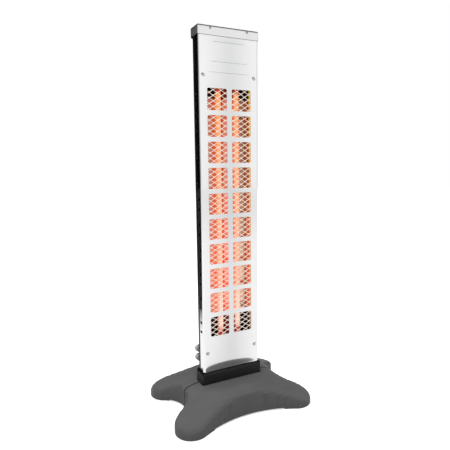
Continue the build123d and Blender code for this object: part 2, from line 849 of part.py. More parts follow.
# ----------------------------------------------------------------- the push switches
block_bottom = -cover_sheet - switch_block_depth
stem_well = stem_reach + switch_travel + moving_gap
for name, level in switch_levels.items():
    with BuildPart() as switch_body:
        with BuildSketch(bevel_plane(-cover_sheet, level)):
            Rectangle(switch_block_height, switch_block_width)
        extrude(amount=-switch_block_depth)
        with BuildSketch(bevel_plane(-cover_sheet, level)):
            round_post(bushing_radius)
        extrude(amount=cover_sheet + bushing_rise)
        with BuildSketch(bevel_plane(bushing_rise, level)):
            round_bore(stem_radius + moving_gap, Mode.ADD)
        extrude(amount=-(bushing_rise + stem_well), mode=Mode.SUBTRACT)
        with BuildSketch(bevel_plane(block_bottom, level)):
            with GridLocations(switch_block_height / 2, 0, 2, 1):
                Rectangle(blade_width, blade_thickness)
        extrude(amount=-switch_tag_length)
    save(switch_body, f"switch_body_{name}")

    with BuildPart() as switch_bezel:
        with BuildSketch(bevel_plane(0, level)):
            round_post(bezel_radius)
        extrude(amount=bezel_height)
        with BuildSketch(bevel_plane(bezel_floor, level)):
            round_bore(dome_radius + moving_gap, Mode.ADD)
        extrude(amount=bezel_height, mode=Mode.SUBTRACT)
        with BuildSketch(bevel_plane(0, level)):
            round_bore(bushing_hole_radius, Mode.ADD)
        extrude(amount=bezel_height, mode=Mode.SUBTRACT)
    save(switch_bezel, f"switch_bezel_{name}")

    with BuildPart() as switch_button:
        with BuildSketch(bevel_plane(dome_rest, level)):
            round_post(dome_radius)
        extrude(amount=dome_straight + dome_radius)
        for dome_cut in (dome_first_cut, dome_second_cut):
            chamfer(faces().sort_by(bevel_axis)[-1].edges(), dome_cut)
        with BuildSketch(bevel_plane(dome_rest, level)):
            round_post(dome_radius - dome_wall)
        extrude(amount=dome_ceiling - dome_rest, mode=Mode.SUBTRACT)
    save(switch_button, f"switch_button_{name}")

    with BuildPart() as switch_plunger:
        with BuildSketch(bevel_plane(dome_ceiling, level)):
            round_post(stem_radius)
        extrude(amount=-(dome_ceiling + stem_reach))
    save(switch_plunger, f"switch_plunger_{name}")

# ------------------------------------------------------------- the electrical fittings
with BuildPart() as terminal_block:
    with Locations((terminal_block_x, 0, bottom_plate_top)):
        Box(
            terminal_block_length,
            terminal_block_width,
            terminal_block_height,
            align=(Align.CENTER, Align.CENTER, Align.MIN),
        )
    with BuildSketch(Plane((terminal_block_x, 0, bottom_plate_top + terminal_block_height))):
        with GridLocations(terminal_pole_pitch, terminal_block_width / 2, 3, 2):
            Rectangle(terminal_well_width, terminal_well_width)
    extrude(amount=-terminal_well_depth, mode=Mode.SUBTRACT)
save(terminal_block, "terminal_block")

with BuildPart() as tilt_switch:
    with Locations((tilt_switch_x, 0, bottom_plate_top)):
        Box(
            tilt_switch_length,
            tilt_switch_width,
            tilt_switch_height,
            align=(Align.CENTER, Align.CENTER, Align.MIN),
        )
    chamfer(edges().filter_by(Axis.Z), tilt_switch_edge)
save(tilt_switch, "tilt_switch")

with BuildPart() as cable_gland:
    with BuildSketch(rear_at(rear_offset)):
        with Locations((0, gland_z)):
            RegularPolygon(gland_flange_radius, 6)
    extrude(amount=gland_flange)
    with BuildSketch(rear_at(rear_offset + gland_flange)):
        with Locations((0, gland_z)):
            RegularPolygon(gland_cap_radius, fastener_sides)
    extrude(amount=gland_cap)
    chamfer(faces().sort_by(Axis.Y)[-1].edges(), gland_cap_edge)
    with BuildSketch(rear_at(rear_offset)):
        with Locations((0, gland_z)):
            round_post(gland_thread_radius)
    extrude(amount=-gland_thread)
    with BuildSketch(rear_at(rear_offset)):
        with Locations((0, gland_z)):
            Circle(gland_bore_radius)
    extrude(amount=2 * gland_cap, both=True, mode=Mode.SUBTRACT)
save(cable_gland, "cable_gland")

with BuildPart() as gland_nut:
    with BuildSketch(rear_at(rear_inner - gland_nut_height)):
        with Locations((0, gland_z)):
            RegularPolygon(gland_flange_radius, 6)
            round_bore(gland_thread_radius)
    extrude(amount=gland_nut_height)
save(gland_nut, "gland_nut")
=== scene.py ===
from math import asin, ceil, copysign, cos, pi, radians, sin, sqrt, tan

import bmesh
import bpy
from mathutils import Matrix, Vector


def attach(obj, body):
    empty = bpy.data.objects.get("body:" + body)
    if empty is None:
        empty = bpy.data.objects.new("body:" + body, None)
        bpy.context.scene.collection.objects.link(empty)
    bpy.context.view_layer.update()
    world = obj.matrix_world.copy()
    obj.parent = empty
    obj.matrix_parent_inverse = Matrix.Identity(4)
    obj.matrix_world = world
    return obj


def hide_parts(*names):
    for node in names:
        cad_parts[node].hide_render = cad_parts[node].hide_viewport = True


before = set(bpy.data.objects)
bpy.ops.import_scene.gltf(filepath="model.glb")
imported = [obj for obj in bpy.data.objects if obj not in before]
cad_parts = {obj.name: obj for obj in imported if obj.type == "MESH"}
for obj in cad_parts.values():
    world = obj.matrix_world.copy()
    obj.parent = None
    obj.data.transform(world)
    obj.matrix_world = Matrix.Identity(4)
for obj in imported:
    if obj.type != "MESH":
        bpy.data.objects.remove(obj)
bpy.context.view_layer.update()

# --------------------------------------------------
# The foot: two halves of one four-lobed moulding in grained dark grey plastic, crowned
# on top, with a soft rim. They meet on a seam across the middle, where the flanges
# under it are screwed together. Ribs stiffen the hollow underside.
foot_height = 0.081
foot_wall = 0.0035
lobe_centre = Vector((0.186, 0.124))
lobe_radius = 0.05299
front_hollow_radius = 0.353
side_hollow_radius = 0.086
front_hollow_reach = sqrt((front_hollow_radius + lobe_radius) ** 2 - lobe_centre.x**2)
side_hollow_reach = sqrt((side_hollow_radius + lobe_radius) ** 2 - lobe_centre.y**2)
front_hollow_centre = Vector((0, lobe_centre.y + front_hollow_reach))
side_hollow_centre = Vector((lobe_centre.x + side_hollow_reach, 0))
front_sweep = asin(lobe_centre.x / (front_hollow_radius + lobe_radius))
side_sweep = asin(lobe_centre.y / (side_hollow_radius + lobe_radius))
outline_step = 0.0032
crown_slope = radians(20.8)
crown_blend = 0.170
crown_knee = 0.128
crown_flat = crown_knee - crown_blend * tan(crown_slope / 2)
rim_radius = 0.009
ring_insets = (0.0006, 0.0008, 0.0012, 0.0014, 0.0016, 0.0018, 0.0018, 0.004)
grid_pitch = 0.009
grid_columns = range(-26, 27)
grid_rows = range(20)
seam_radius = 0.0009
seam_gap = 0.0004
rim_height = 0.0015
relief_height = 0.005
relief_half_front = 0.125
relief_half_side = 0.065
rib_positions = (-0.130, -0.058, 0.058, 0.130)
rib_thickness = 0.0025
rib_floor = 0.012
rib_segments = 24
pad_place = Vector((0.196, 0.134))
boss_radius = 0.020
boss_floor = 0.004
boss_sides = 32
web_overlap = 0.0008
touching = 1e-6
welded = 1e-5
sharp_angle = radians(32)


class Value:
    """A number that changes over a surface. Sums, products and powers of values add
    the Math nodes for them."""

    def __init__(self, shading, socket):
        self.shading = shading
        self.socket = socket

    def maths(self, operation, first, second=0.0):
        return self.shading.node("Math", {"operation": operation}, {0: first, 1: second})

    def __add__(self, other):
        return self.maths("ADD", self, other)

    __radd__ = __add__

    def __sub__(self, other):
        return self.maths("SUBTRACT", self, other)

    def __rsub__(self, other):
        return self.maths("SUBTRACT", other, self)

    def __mul__(self, other):
        return self.maths("MULTIPLY", self, other)

    __rmul__ = __mul__

    def __truediv__(self, other):
        return self.maths("DIVIDE", self, other)

    def __pow__(self, other):
        return self.maths("POWER", self, other)

    def __abs__(self):
        return self.maths("ABSOLUTE", self)

    def above(self, start, end):
        """0 up to start, 1 from end on, and a straight slope between."""
        limits = {"From Min": start, "From Max": end}
        return self.shading.node("MapRange", {"clamp": True}, {"Value": self, **limits})


class Shading:
    """The nodes of a material or a world, and the means to add to them."""

    def __init__(self, owner, coordinates):
        owner.use_nodes = True
        self.nodes = owner.node_tree.nodes
        self.links = owner.node_tree.links
        self.place = self.node("TexCoord", output=coordinates)

    def node(self, kind, settings=None, inputs=None, output=0):
        """A new node of a kind, its settings first, then what its sockets take."""
        made = self.nodes.new("ShaderNode" + kind)
        for name, value in (settings or {}).items():
            if name == "stops":
                ramp = made.color_ramp.elements
                while len(ramp) < len(value):
                    ramp.new(1.0)
                for element, (position, colour) in zip(ramp, value):
                    element.position = position
                    element.color = (*colour, 1.0)
            else:
                setattr(made, name, value)
        for name, value in (inputs or {}).items():
            self.join(value, made.inputs[name])
        return Value(self, made.outputs[output])

    def join(self, value, socket):
        if isinstance(value, Value):
            self.links.new(value.socket, socket)
        elif socket.type == "RGBA":
            socket.default_value = (*value, 1.0)
        else:
            socket.default_value = value

    def axis(self, letter):
        return self.node("SeparateXYZ", {}, {0: self.place}, letter)

    def ray(self, kind):
        """1 for rays of a kind, and 0 for the others."""
        return self.node("LightPath", output=f"Is {kind} Ray")

    def blend(self, share, low, high):
        """A colour between two others, at the given share of the second."""
        return self.node("Mix", {"data_type": "RGBA"}, {0: share, 6: low, 7: high}, 2)

    def ramp(self, share, *stops):
        """A colour that runs through stops, each a share and the colour there."""
        return self.node("ValToRGB", {"stops": stops}, {"Fac": share})


class Finish(Shading):
    """A material with one Principled shader, under the name of its material slot."""

    def __init__(self, slot, constants=None):
        self.slot = slot
        self.material = bpy.data.materials.new(slot)
        super().__init__(self.material, "Object")
        for socket, value in (constants or {}).items():
            self.feed(socket, value)

    def feed(self, socket, value):
        self.join(value, self.nodes["Principled BSDF"].inputs[socket])

    def noise(self, size, detail=3.0, stretch=(1, 1, 1)):
        """Cloudy values about 0.5, whose clouds are about size across."""
        spread = tuple(1 / (size * s) for s in stretch)
        mapped = self.node("Mapping", {}, {"Vector": self.place, "Scale": spread})
        return self.node("TexNoise", {}, {"Vector": mapped, "Scale": 1.0, "Detail": detail})

    def clouded(self, size, detail, low, high, roughness, rougher, stretch=(1, 1, 1)):
        """Let colour and roughness drift together, in clouds. Returns the clouds."""
        clouds = self.noise(size, detail, stretch)
        self.feed("Base Color", self.blend(clouds, low, high))
        self.feed("Roughness", roughness + rougher * clouds)
        return clouds

    def relief(self, height, depth, strength):
        """Bump from a height field whose full swing is depth, in metres."""
        inputs = {"Height": height, "Distance": depth, "Strength": strength}
        self.feed("Normal", self.node("Bump", {}, inputs))

    def grained(self, size, depth, strength):
        """Relief of many scattered grains, about size across."""
        grains = self.node("TexVoronoi", {}, {"Vector": self.place, "Scale": 1 / size})
        self.relief(grains, depth, strength)


def place_piece(name, mesh, finish, *nodes, body="heater"):
    """Make a finished piece of a bmesh: it rides on a body and stands for CAD nodes."""
    data = bpy.data.meshes.new(name)
    mesh.to_mesh(data)
    mesh.free()
    data.polygons.foreach_set("use_smooth", [True] * len(data.polygons))
    data.set_sharp_from_angle(angle=sharp_angle)
    data.materials.append(finish.material)
    piece = bpy.data.objects.new(name, data)
    bpy.context.scene.collection.objects.link(piece)
    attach(piece, body)
    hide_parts(*nodes)
    return piece


def vertices(geom):
    """The vertices among what an operator made."""
    return [g for g in geom if isinstance(g, bmesh.types.BMVert)]


def at(x, y, z):
    """The move from the origin to a place."""
    return Matrix.Translation((x, y, z))


def move(mesh, matrix):
    """Move all of a mesh."""
    bmesh.ops.transform(mesh, matrix=matrix, verts=mesh.verts[:])


def cut_across(mesh, normal, distance, snap):
    """Divide the faces of a mesh where a plane at a distance from the origin cuts it."""
    bmesh.ops.bisect_plane(
        mesh,
        geom=mesh.verts[:] + mesh.edges[:] + mesh.faces[:],
        dist=snap,
        plane_co=Vector(normal) * distance,
        plane_no=normal,
    )


def face_outward(mesh):
    """Turn the faces of a mesh to its outside."""
    bmesh.ops.recalc_face_normals(mesh, faces=mesh.faces[:])


def face_up(mesh):
    """Turn the faces of a shell to its outside, where the shell is open below."""
    face_outward(mesh)
    if max(mesh.faces, key=lambda f: f.calc_center_median().z).normal.z < 0:
        bmesh.ops.reverse_faces(mesh, faces=mesh.faces[:])


def spin_chain(mesh, start, centre, turn):
    """Turn a vertex anticlockwise about an upright axis, leaving a chain of edges behind
    it. Returns the last vertex."""
    swept = bmesh.ops.spin(
        mesh,
        geom=[start],
        cent=(*centre, start.co.z),
        axis=(0, 0, 1),
        angle=turn,
        steps=ceil(abs(turn) * (start.co.xy - centre).length / outline_step),
    )
    return vertices(swept["geom_last"])[0]


def inset_from_outline(x, y):
    """How far inside the outline of the foot a point of its plan lies."""
    point = Vector((abs(x), abs(y)))
    from_lobe = point - lobe_centre
    to_front = front_hollow_centre - lobe_centre
    to_side = side_hollow_centre - lobe_centre
    if to_front.cross(from_lobe) < 0 < to_side.cross(from_lobe):
        return lobe_radius - from_lobe.length
    return min(
        (point - front_hollow_centre).length - front_hollow_radius,
        (point - side_hollow_centre).length - side_hollow_radius,
    )


def rounded_drop(distance, radius):
    """How far a rounded edge has fallen, at a distance in from the face beside it."""
    if distance >= radius:
        return 0.0
    return radius - sqrt(max(0.0, radius**2 - (radius - distance) ** 2))


def crown_height(x, y):
    """Height of the crowned top of the foot."""
    reach = sqrt(x * x + y * y)
    if reach <= crown_flat:
        return foot_height
    if reach <= crown_flat + crown_blend * sin(crown_slope):
        return foot_height - crown_blend + sqrt(crown_blend**2 - (reach - crown_flat) ** 2)
    return foot_height - (reach - crown_knee) * tan(crown_slope)


def shell_height(x, y):
    """Height of the top of the foot, with its rounded rim."""
    return crown_height(x, y) - rounded_drop(max(0.0, inset_from_outline(x, y)), rim_radius)


def rim_bottom(x, y):
    """Height of the lower edge of the foot's wall, raised between the lobes."""
    between = abs(x) < relief_half_front or abs(y) < relief_half_side
    return relief_height if between else rim_height


def under_crown(x, y):
    """Height of the inner face of the shell, a little way into its wall."""
    return shell_height(x, y) - foot_wall + web_overlap


def stiffening_web(mesh, begin, end):
    """An upright web in the underside of the foot, between two points of its plan."""
    made = bmesh.ops.create_grid(mesh, x_segments=rib_segments, y_segments=1, size=0.5)["verts"]
    for v in made:
        share, top = v.co.x + 0.5, v.co.y > 0
        x, y = begin.lerp(end, share)
        v.co = (x, y, under_crown(x, y) if top else rib_floor)
    faces = list({f for v in made for f in v.link_faces})
    bmesh.ops.solidify(mesh, geom=faces, thickness=rib_thickness)


def rib_end(x):
    """Where a rib across the foot meets the inside of its front or rear wall."""
    return front_hollow_centre.y - sqrt(front_hollow_radius**2 - x * x) - foot_wall / 2


plastic = Finish("foot_plastic", {"Specular IOR Level": 0.22})
mottle = plastic.noise(0.05, 4.0)
scuffs = plastic.noise(0.006, 5.0, (1, 4, 1)).above(0.66, 0.74)
# Painted shade: along the seam the plastic is painted near black, and rougher, where the gap
# between the halves lies in shade.
seam_shade = 1 - abs(plastic.axis("Y")).above(0.0012, 0.0030)
skin = plastic.blend(mottle, (0.092, 0.093, 0.095), (0.116, 0.117, 0.119))
scuffed = plastic.blend(scuffs * 0.16, skin, (0.16, 0.16, 0.165))
plastic.feed("Base Color", plastic.blend(seam_shade, scuffed, (0.004, 0.004, 0.004)))
plastic.feed("Roughness", 0.36 + 0.14 * mottle - 0.08 * scuffs + 0.3 * seam_shade)
plastic.grained(0.0011, 0.00012, 0.7)

web_y = seam_gap / 2 + rib_thickness / 2
web_x = side_hollow_centre.x - side_hollow_radius - foot_wall / 2
webs = [((-web_x, web_y), (web_x, web_y))]
webs += [((x, web_y), (x, rib_end(x))) for x in rib_positions]

for half, facing in (("front", -1), ("rear", 1)):
    shell = bmesh.new()
    start = shell.verts.new((0, front_hollow_centre.y - front_hollow_radius, 0))
    knee = spin_chain(shell, start, front_hollow_centre, front_sweep)
    waist = spin_chain(shell, knee, lobe_centre, -(pi / 2 + front_sweep + side_sweep))
    tip = spin_chain(shell, waist, side_hollow_centre, side_sweep)
    tip.co.y = seam_gap / 2
    bmesh.ops.mirror(shell, geom=shell.verts[:] + shell.edges[:], axis="X", merge_dist=welded)
    ends = [v for v in shell.verts if len(v.link_edges) == 1]
    bmesh.ops.contextual_create(shell, geom=ends)
    face = bmesh.ops.contextual_create(shell, geom=shell.edges[:])["faces"][0]
    for inset in ring_insets:
        bmesh.ops.inset_region(shell, faces=[face], thickness=inset, use_even_offset=True)
    for column in grid_columns:
        cut_across(shell, (1, 0, 0), grid_pitch * column, touching)
    for row in grid_rows:
        cut_across(shell, (0, 1, 0), grid_pitch * (row + 0.5), touching)
    rim = [
        e
        for e in shell.edges
        if e.is_boundary and max(v.co.y for v in e.verts) > seam_gap / 2 + touching
    ]
    for v in shell.verts:
        into_seam = rounded_drop(v.co.y - seam_gap / 2, seam_radius)
        v.co.z = shell_height(v.co.x, v.co.y) - into_seam
    for v in vertices(bmesh.ops.extrude_edge_only(shell, edges=rim)["geom"]):
        v.co.z = rim_bottom(v.co.x, v.co.y)
    face_up(shell)
    bmesh.ops.solidify(shell, geom=shell.faces[:], thickness=foot_wall)
    for begin, end in webs:
        stiffening_web(shell, Vector(begin), Vector(end))
    for side in (-1, 1):
        boss = bmesh.ops.create_cone(
            shell,
            cap_ends=True,
            segments=boss_sides,
            radius1=boss_radius,
            radius2=boss_radius,
            depth=2.0,
            matrix=at(side * pad_place.x, pad_place.y, 0),
        )["verts"]
        for v in boss:
            v.co.z = under_crown(v.co.x, v.co.y) if v.co.z > 0 else boss_floor
    move(shell, Matrix.Diagonal((1, facing, 1, 1)))
    if facing < 0:
        bmesh.ops.reverse_faces(shell, faces=shell.faces[:])
    place_piece(f"foot_{half}_shell", shell, plastic, f"foot_{half}_half")

# --------------------------------------------------
# Four soft rubber pads, pressed onto the bosses under the lobes. Each is a disc with
# a rounded edge and a ring groove, and carries the heater on the floor.
pad_radius = 0.016
pad_height = 0.004
pad_edge = 0.0009
pad_groove = 0.0008
pad_sides = 40
pad_profile = [
    (0, pad_groove),
    (0.004, pad_groove),
    (0.0048, 0),
    (0.010, 0),
    (0.0104, pad_groove),
    (0.0118, pad_groove),
    (0.0122, 0),
    (pad_radius - pad_edge, 0),
    (pad_radius - pad_edge * 0.3, pad_edge * 0.3),
    (pad_radius, pad_edge),
    (pad_radius, pad_height),
    (0, pad_height),
]


def chain(mesh, places):
    """A chain of edges through places. Returns its points and its edges."""
    points = [mesh.verts.new(place) for place in places]
    return points, [mesh.edges.new(pair) for pair in zip(points, points[1:])]


def turned(mesh, profile, matrix, sides):
    """Turn a line of (radius, height) points all the way round, then place it."""
    before = set(mesh.verts)
    points, line = chain(mesh, [(radius, 0, height) for radius, height in profile])
    bmesh.ops.spin(
        mesh,
        geom=points + line,
        cent=(0, 0, 0),
        axis=(0, 0, 1),
        angle=2 * pi,
        steps=sides,
        use_merge=True,
    )
    spun = [v for v in mesh.verts if v not in before]
    bmesh.ops.remove_doubles(mesh, verts=spun, dist=touching)
    made = [v for v in spun if v.is_valid]
    faces = list({f for v in made for f in v.link_faces})
    bmesh.ops.recalc_face_normals(mesh, faces=faces)
    bmesh.ops.transform(mesh, matrix=matrix, verts=made)


rubber = Finish("foot_rubber", {"Specular IOR Level": 0.3})
rubber.clouded(0.006, 5.0, (0.012, 0.012, 0.012), (0.035, 0.034, 0.032), 0.72, 0.2)
rubber.grained(0.0009, 0.00008, 0.6)

pads = bmesh.new()
for x in (-pad_place.x, pad_place.x):
    for y in (-pad_place.y, pad_place.y):
        turned(pads, pad_profile, at(x, y, 0), pad_sides)
place_piece("rubber_pads", pads, rubber, "foot_pads")

# --------------------------------------------------
# Zinc-plated steel inside: the fasteners, the tie plate under the crown, the tower's
# bottom plate and the brackets that cross the housing at the ends of the tubes.


def dress(finish, *nodes):
    """Give CAD nodes their material."""
    for node in nodes:
        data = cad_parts[node].data
        data.materials.clear()
        data.materials.append(finish.material)


zinc = Finish("zinc_steel", {"Metallic": 1.0})
zinc.clouded(0.004, 4.0, (0.50, 0.51, 0.53), (0.68, 0.68, 0.66), 0.28, 0.3)
zinc.relief(zinc.noise(0.0012), 0.00003, 0.4)
dress(zinc, "tie_plate", "anchor_bolts", "anchor_nuts", "seam_screws", "seam_nuts")
dress(zinc, "bottom_plate", "lower_bracket", "upper_bracket")

# --------------------------------------------------
# The collar: a moulded plastic surround with softened edges that stands on the crown
# and holds the bottom of the tower. The tower's bolts pass through its floor.
tower_corner_sum = 0.1192
collar_offset = 0.008
collar_corner_sum = tower_corner_sum + collar_offset * sqrt(2)
collar_half = 0.1105
collar_front = -0.033
collar_rear = 0.046
collar_middle = Vector((0, 0.005, 0))
collar_top = 0.118
collar_low = foot_height - 0.0005
collar_floor = 0.084
collar_wall = 0.006
collar_front_corner = 0.008
collar_rear_corner = 0.0055
collar_edge = 0.0045
collar_mouth_edge = 0.0008
collar_foot_edge = 0.003
corner_steps = 6
edge_steps = 4


def rounded(mesh, geom, radius, affect, segments):
    """Round the given edges, or the given corners of a flat outline."""
    bmesh.ops.bevel(
        mesh,
        geom=geom,
        offset=radius,
        offset_type="OFFSET",
        segments=segments,
        profile=0.5,
        affect=affect,
        clamp_overlap=True,
        material=-1,
    )


def housing_section(mesh, half, front, rear, corner_sum, height):
    """A level face shaped like the housing's section, square in front and bevelled
    behind. Returns its corners, those in front first."""
    side, back = corner_sum - half, corner_sum - rear
    plan = [(-half, front), (half, front), (half, side), (back, rear)]
    plan += [(-back, rear), (-half, side)]
    corners = [mesh.verts.new((x, y, height)) for x, y in plan]
    mesh.faces.new(corners)
    return corners


def move_face(mesh, face, height):
    """Extrude a level face to another height, and return it there."""
    made = bmesh.ops.extrude_face_region(mesh, geom=[face])["geom"]
    if face.is_valid:
        bmesh.ops.delete(mesh, geom=[face], context="FACES_ONLY")
    for v in vertices(made):
        v.co.z = height
    return next(g for g in made if isinstance(g, bmesh.types.BMFace))


def flatten(piece):
    """Shade the flat faces of a piece as flat, right up to the bends beside them."""
    weighted = piece.modifiers.new("flat_faces", "WEIGHTED_NORMAL")
    weighted.keep_sharp = True


matt = Finish("collar_plastic", {"Specular IOR Level": 0.3})
matt_clouds = matt.noise(0.03, 4.0)
# Painted shadow: the collar is painted near black, and rougher, along its foot where it stands on
# the crown.
foot_contact_shadow = 1 - matt.axis("Z").above(0.0825, 0.0850)
collar_skin = matt.blend(matt_clouds, (0.007, 0.007, 0.0075), (0.013, 0.013, 0.0135))
matt.feed("Base Color", matt.blend(foot_contact_shadow, collar_skin, (0.002, 0.002, 0.002)))
matt.feed("Roughness", 0.32 + 0.14 * matt_clouds + 0.4 * foot_contact_shadow)
matt.grained(0.0010, 0.00009, 0.6)

collar = bmesh.new()
corners = housing_section(
    collar, collar_half, collar_front, collar_rear, collar_corner_sum, collar_low
)
rounded(collar, corners[:2], collar_front_corner, "VERTICES", corner_steps)
rounded(collar, corners[2:], collar_rear_corner, "VERTICES", corner_steps)
mouth = move_face(collar, collar.faces[:][0], collar_top)
bmesh.ops.inset_region(collar, faces=[mouth], thickness=collar_wall, use_even_offset=True)
move_face(collar, mouth, collar_floor)
face_outward(collar)
walls = [f for f in collar.faces if abs(f.normal.z) < 0.5]
outer = [f for f in walls if f.normal.dot(f.calc_center_median() - collar_middle) > 0]
for wall, height, radius in (
    (outer, collar_top, collar_edge),
    ([f for f in walls if f not in outer], collar_top, collar_mouth_edge),
    (outer, collar_low, collar_foot_edge),
):
    edges = {e for f in wall if f.is_valid for e in f.edges}
    level = [e for e in edges if all(abs(v.co.z - height) < touching for v in e.verts)]
    rounded(collar, level, radius, "EDGES", edge_steps)
face_outward(collar)
flatten(place_piece("collar_moulding", collar, matt, "collar"))

# --------------------------------------------------
# Terminal block and tip-over switch on the bottom plate, and the cable gland in the
# rear cover with its nut inside: cream and black plastic mouldings.
gland_height = 0.132
gland_face = 0.038
gland_flange_radius = 0.011
gland_flange = 0.004
gland_flange_edge = 0.0006
gland_thread_radius = 0.0075
gland_tail = 0.009
gland_cap_radius = 0.0088
gland_cap_end = 0.014
gland_bore = 0.0035
gland_sides = 48
gland_flutes = 8
gland_flute_depth = 0.0004
gland_flute_end = gland_cap_end - 0.003
gland_profile = [
    (gland_bore, -gland_tail),
    (gland_thread_radius, -gland_tail),
    (gland_thread_radius, gland_flange - 0.0005),
    (gland_cap_radius, gland_flange - 0.0005),
    (gland_cap_radius, gland_cap_end - 0.0045),
    (gland_cap_radius - 0.0006, gland_cap_end - 0.0022),
    (gland_cap_radius - 0.0018, gland_cap_end - 0.0007),
    (gland_cap_radius - 0.0035, gland_cap_end),
    (gland_bore + 0.0008, gland_cap_end),
    (gland_bore, gland_cap_end - 0.0008),
    (gland_bore, -gland_tail),
]

block_plastic = Finish("block_plastic")
block_plastic.clouded(0.02, 4.0, (0.52, 0.50, 0.44), (0.66, 0.64, 0.58), 0.42, 0.2)
block_plastic.grained(0.0008, 0.00004, 0.4)
dress(block_plastic, "terminal_block")

gland_plastic = Finish("gland_plastic")
gland_plastic.clouded(0.008, 4.0, (0.018, 0.018, 0.019), (0.036, 0.036, 0.037), 0.40, 0.2)
gland_plastic.grained(0.0008, 0.00004, 0.5)
dress(gland_plastic, "gland_nut")

gland = bmesh.new()
outward = at(0, gland_face, gland_height) @ Matrix.Rotation(-pi / 2, 4, "X")
hexagon = bmesh.ops.create_circle(
    gland,
    cap_ends=True,
    segments=6,
    radius=gland_flange_radius,
    matrix=Matrix.Rotation(pi / 6, 4, "Z"),
)["verts"]
flange = move_face(gland, hexagon[0].link_faces[0], gland_flange)
rounded(gland, list(flange.edges), gland_flange_edge, "EDGES", 3)
move(gland, outward)
turned(gland, gland_profile, outward, gland_sides)
for v in gland.verts:
    radial = Vector((v.co.x, 0, v.co.z - gland_height))
    on_cap = gland_flange < v.co.y - gland_face < gland_flute_end
    if on_cap and radial.length > gland_cap_radius * 0.95:
        flute = 0.5 - 0.5 * cos(gland_flutes * radial.xz.angle_signed(Vector((1, 0))))
        v.co -= radial.normalized() * gland_flute_depth * flute
place_piece("cable_gland_body", gland, gland_plastic, "cable_gland")

# --------------------------------------------------
# The reflector: one folded sheet behind and beside the tubes, reddish on its floor
# and golden on its lips, with the tubes' light and shade painted on it. It hangs
# between the brackets that cross the housing.
reflector_sheet = 0.0008
reflector_rear = 0.0082
reflector_front = -0.0196
reflector_floor_half = 0.0776
reflector_mouth_half = 0.0816
reflector_flare = 0.144
reflector_lip = 0.006
reflector_bend = 0.0025
reflector_low = 0.2195
reflector_high = 1.044
reflector_plan = [
    (-reflector_mouth_half - reflector_lip, reflector_front),
    (-reflector_mouth_half, reflector_front),
    (-reflector_floor_half, reflector_rear),
    (reflector_floor_half, reflector_rear),
    (reflector_mouth_half, reflector_front),
    (reflector_mouth_half + reflector_lip, reflector_front),
]

gilt = Finish("reflector_sheet", {"Metallic": 0.92})
gilt_x, gilt_y, gilt_z = (gilt.axis(letter) for letter in "XYZ")
sheet_clouds = gilt.noise(0.02, 4.0)
haze = gilt.noise(0.12, 3.0, (1, 1, 2))
aside = abs(gilt_x)
inner_face = reflector_floor_half - reflector_flare * (gilt_y - reflector_rear)
golden = (
    aside.above(0.0775, 0.0785)
    * (1 - gilt_y.above(-0.008, -0.003))
    * (1 - (aside - inner_face).above(-0.0005, -0.0003))
)
in_front = 1 - gilt_y.above(reflector_rear - 0.0005, reflector_rear - 0.0003)
# Painted shade: towards the ends of the tubes the sheet is painted nearly black, where their
# light falls off.
lit_edge = gilt_z + 0.010 * sheet_clouds
lit = lit_edge.above(0.300, 0.312) * (1 - lit_edge.above(0.996, 1.008))
# Painted light and shade: the floor is painted paler and brighter low down, and a band right of
# the middle is painted darker brown high up and paler low down.
low_down = 1 - gilt_z.above(0.46, 0.80)
on_right = 1 - abs(gilt_x - 0.050).above(0.016, 0.022)
between_tubes = 1 - aside.above(0.008, 0.014)
high_floor = gilt.blend(haze, (0.50, 0.22, 0.17), (0.66, 0.33, 0.27))
warm_floor = gilt.blend(low_down, high_floor, (0.90, 0.37, 0.28))
right_floor = gilt.blend(low_down, (0.42, 0.19, 0.13), (0.90, 0.56, 0.40))
both_floors = gilt.blend(on_right, warm_floor, right_floor)
gold_lip = gilt.blend(haze, (0.34, 0.22, 0.04), (0.44, 0.30, 0.06))
sheet_colour = gilt.blend(golden, both_floors, gold_lip)
gilt.feed("Base Color", gilt.blend(lit, (0.018, 0.004, 0.003), sheet_colour))
gilt.feed("Roughness", 0.12 + 0.16 * sheet_clouds + 0.2 * golden)
gilt.relief(gilt.noise(0.03, 2.0), 0.0008, 0.5)
# Painted light: the sheet glows with the tubes' light, red on its floor between the tubes and
# golden on its lips, more strongly low down.
floor_glow = 0.2 + lit * (0.15 + 0.45 * low_down)
red_share = in_front * between_tubes * floor_glow * (0.5 + sheet_clouds)
red_glow = gilt.blend(red_share, (0.0, 0.0, 0.0), (0.78, 0.045, 0.015))
gold_glow = gilt.ramp(
    gilt_z.above(0.30, 1.0),
    (0.0, (0.45, 0.22, 0.12)),
    (0.3, (0.50, 0.34, 0.14)),
    (0.6, (0.68, 0.44, 0.06)),
    (1.0, (0.80, 0.48, 0.01)),
)
gilt.feed("Emission Color", gilt.blend(golden, red_glow, gold_glow))
gilt.feed("Emission Strength", 0.75)

reflector = bmesh.new()
line = chain(reflector, [(x, y, reflector_low) for x, y in reflector_plan])[1]
for v in vertices(bmesh.ops.extrude_edge_only(reflector, edges=line)["geom"]):
    v.co.z = reflector_high
bends = [e for e in reflector.edges if len(e.link_faces) == 2]
rounded(reflector, bends, reflector_bend, "EDGES", edge_steps)
bmesh.ops.solidify(reflector, geom=reflector.faces[:], thickness=reflector_sheet)
face_outward(reflector)
place_piece("reflector_trough", reflector, gilt, "reflector")

# --------------------------------------------------
# Two heating tubes of milky quartz with a resistance coil in each. A ceramic cap
# closes each end, held in the bracket's slot, and the coil's lead ends on a brass blade.
tube_low = 0.222
tube_high = 1.0415
heat_low = 0.2475
heat_high = 1.016
tube_x = 0.031
tube_y = -0.0073
tube_radius = 0.009
tube_bore = 0.0078
tube_sides = 48
tube_profile = [
    (tube_bore, tube_low),
    (tube_radius, tube_low),
    (tube_radius, tube_high),
    (tube_bore, tube_high),
    (tube_bore, tube_low),
]
coil_radius = 0.0058
wire_radius = 0.0009
wire_sides = 6
coil_turns = 183
coil_pitch = (heat_high - heat_low) / coil_turns
coil_steps = 14
lead_radius = 0.0008
lead_sides = 12

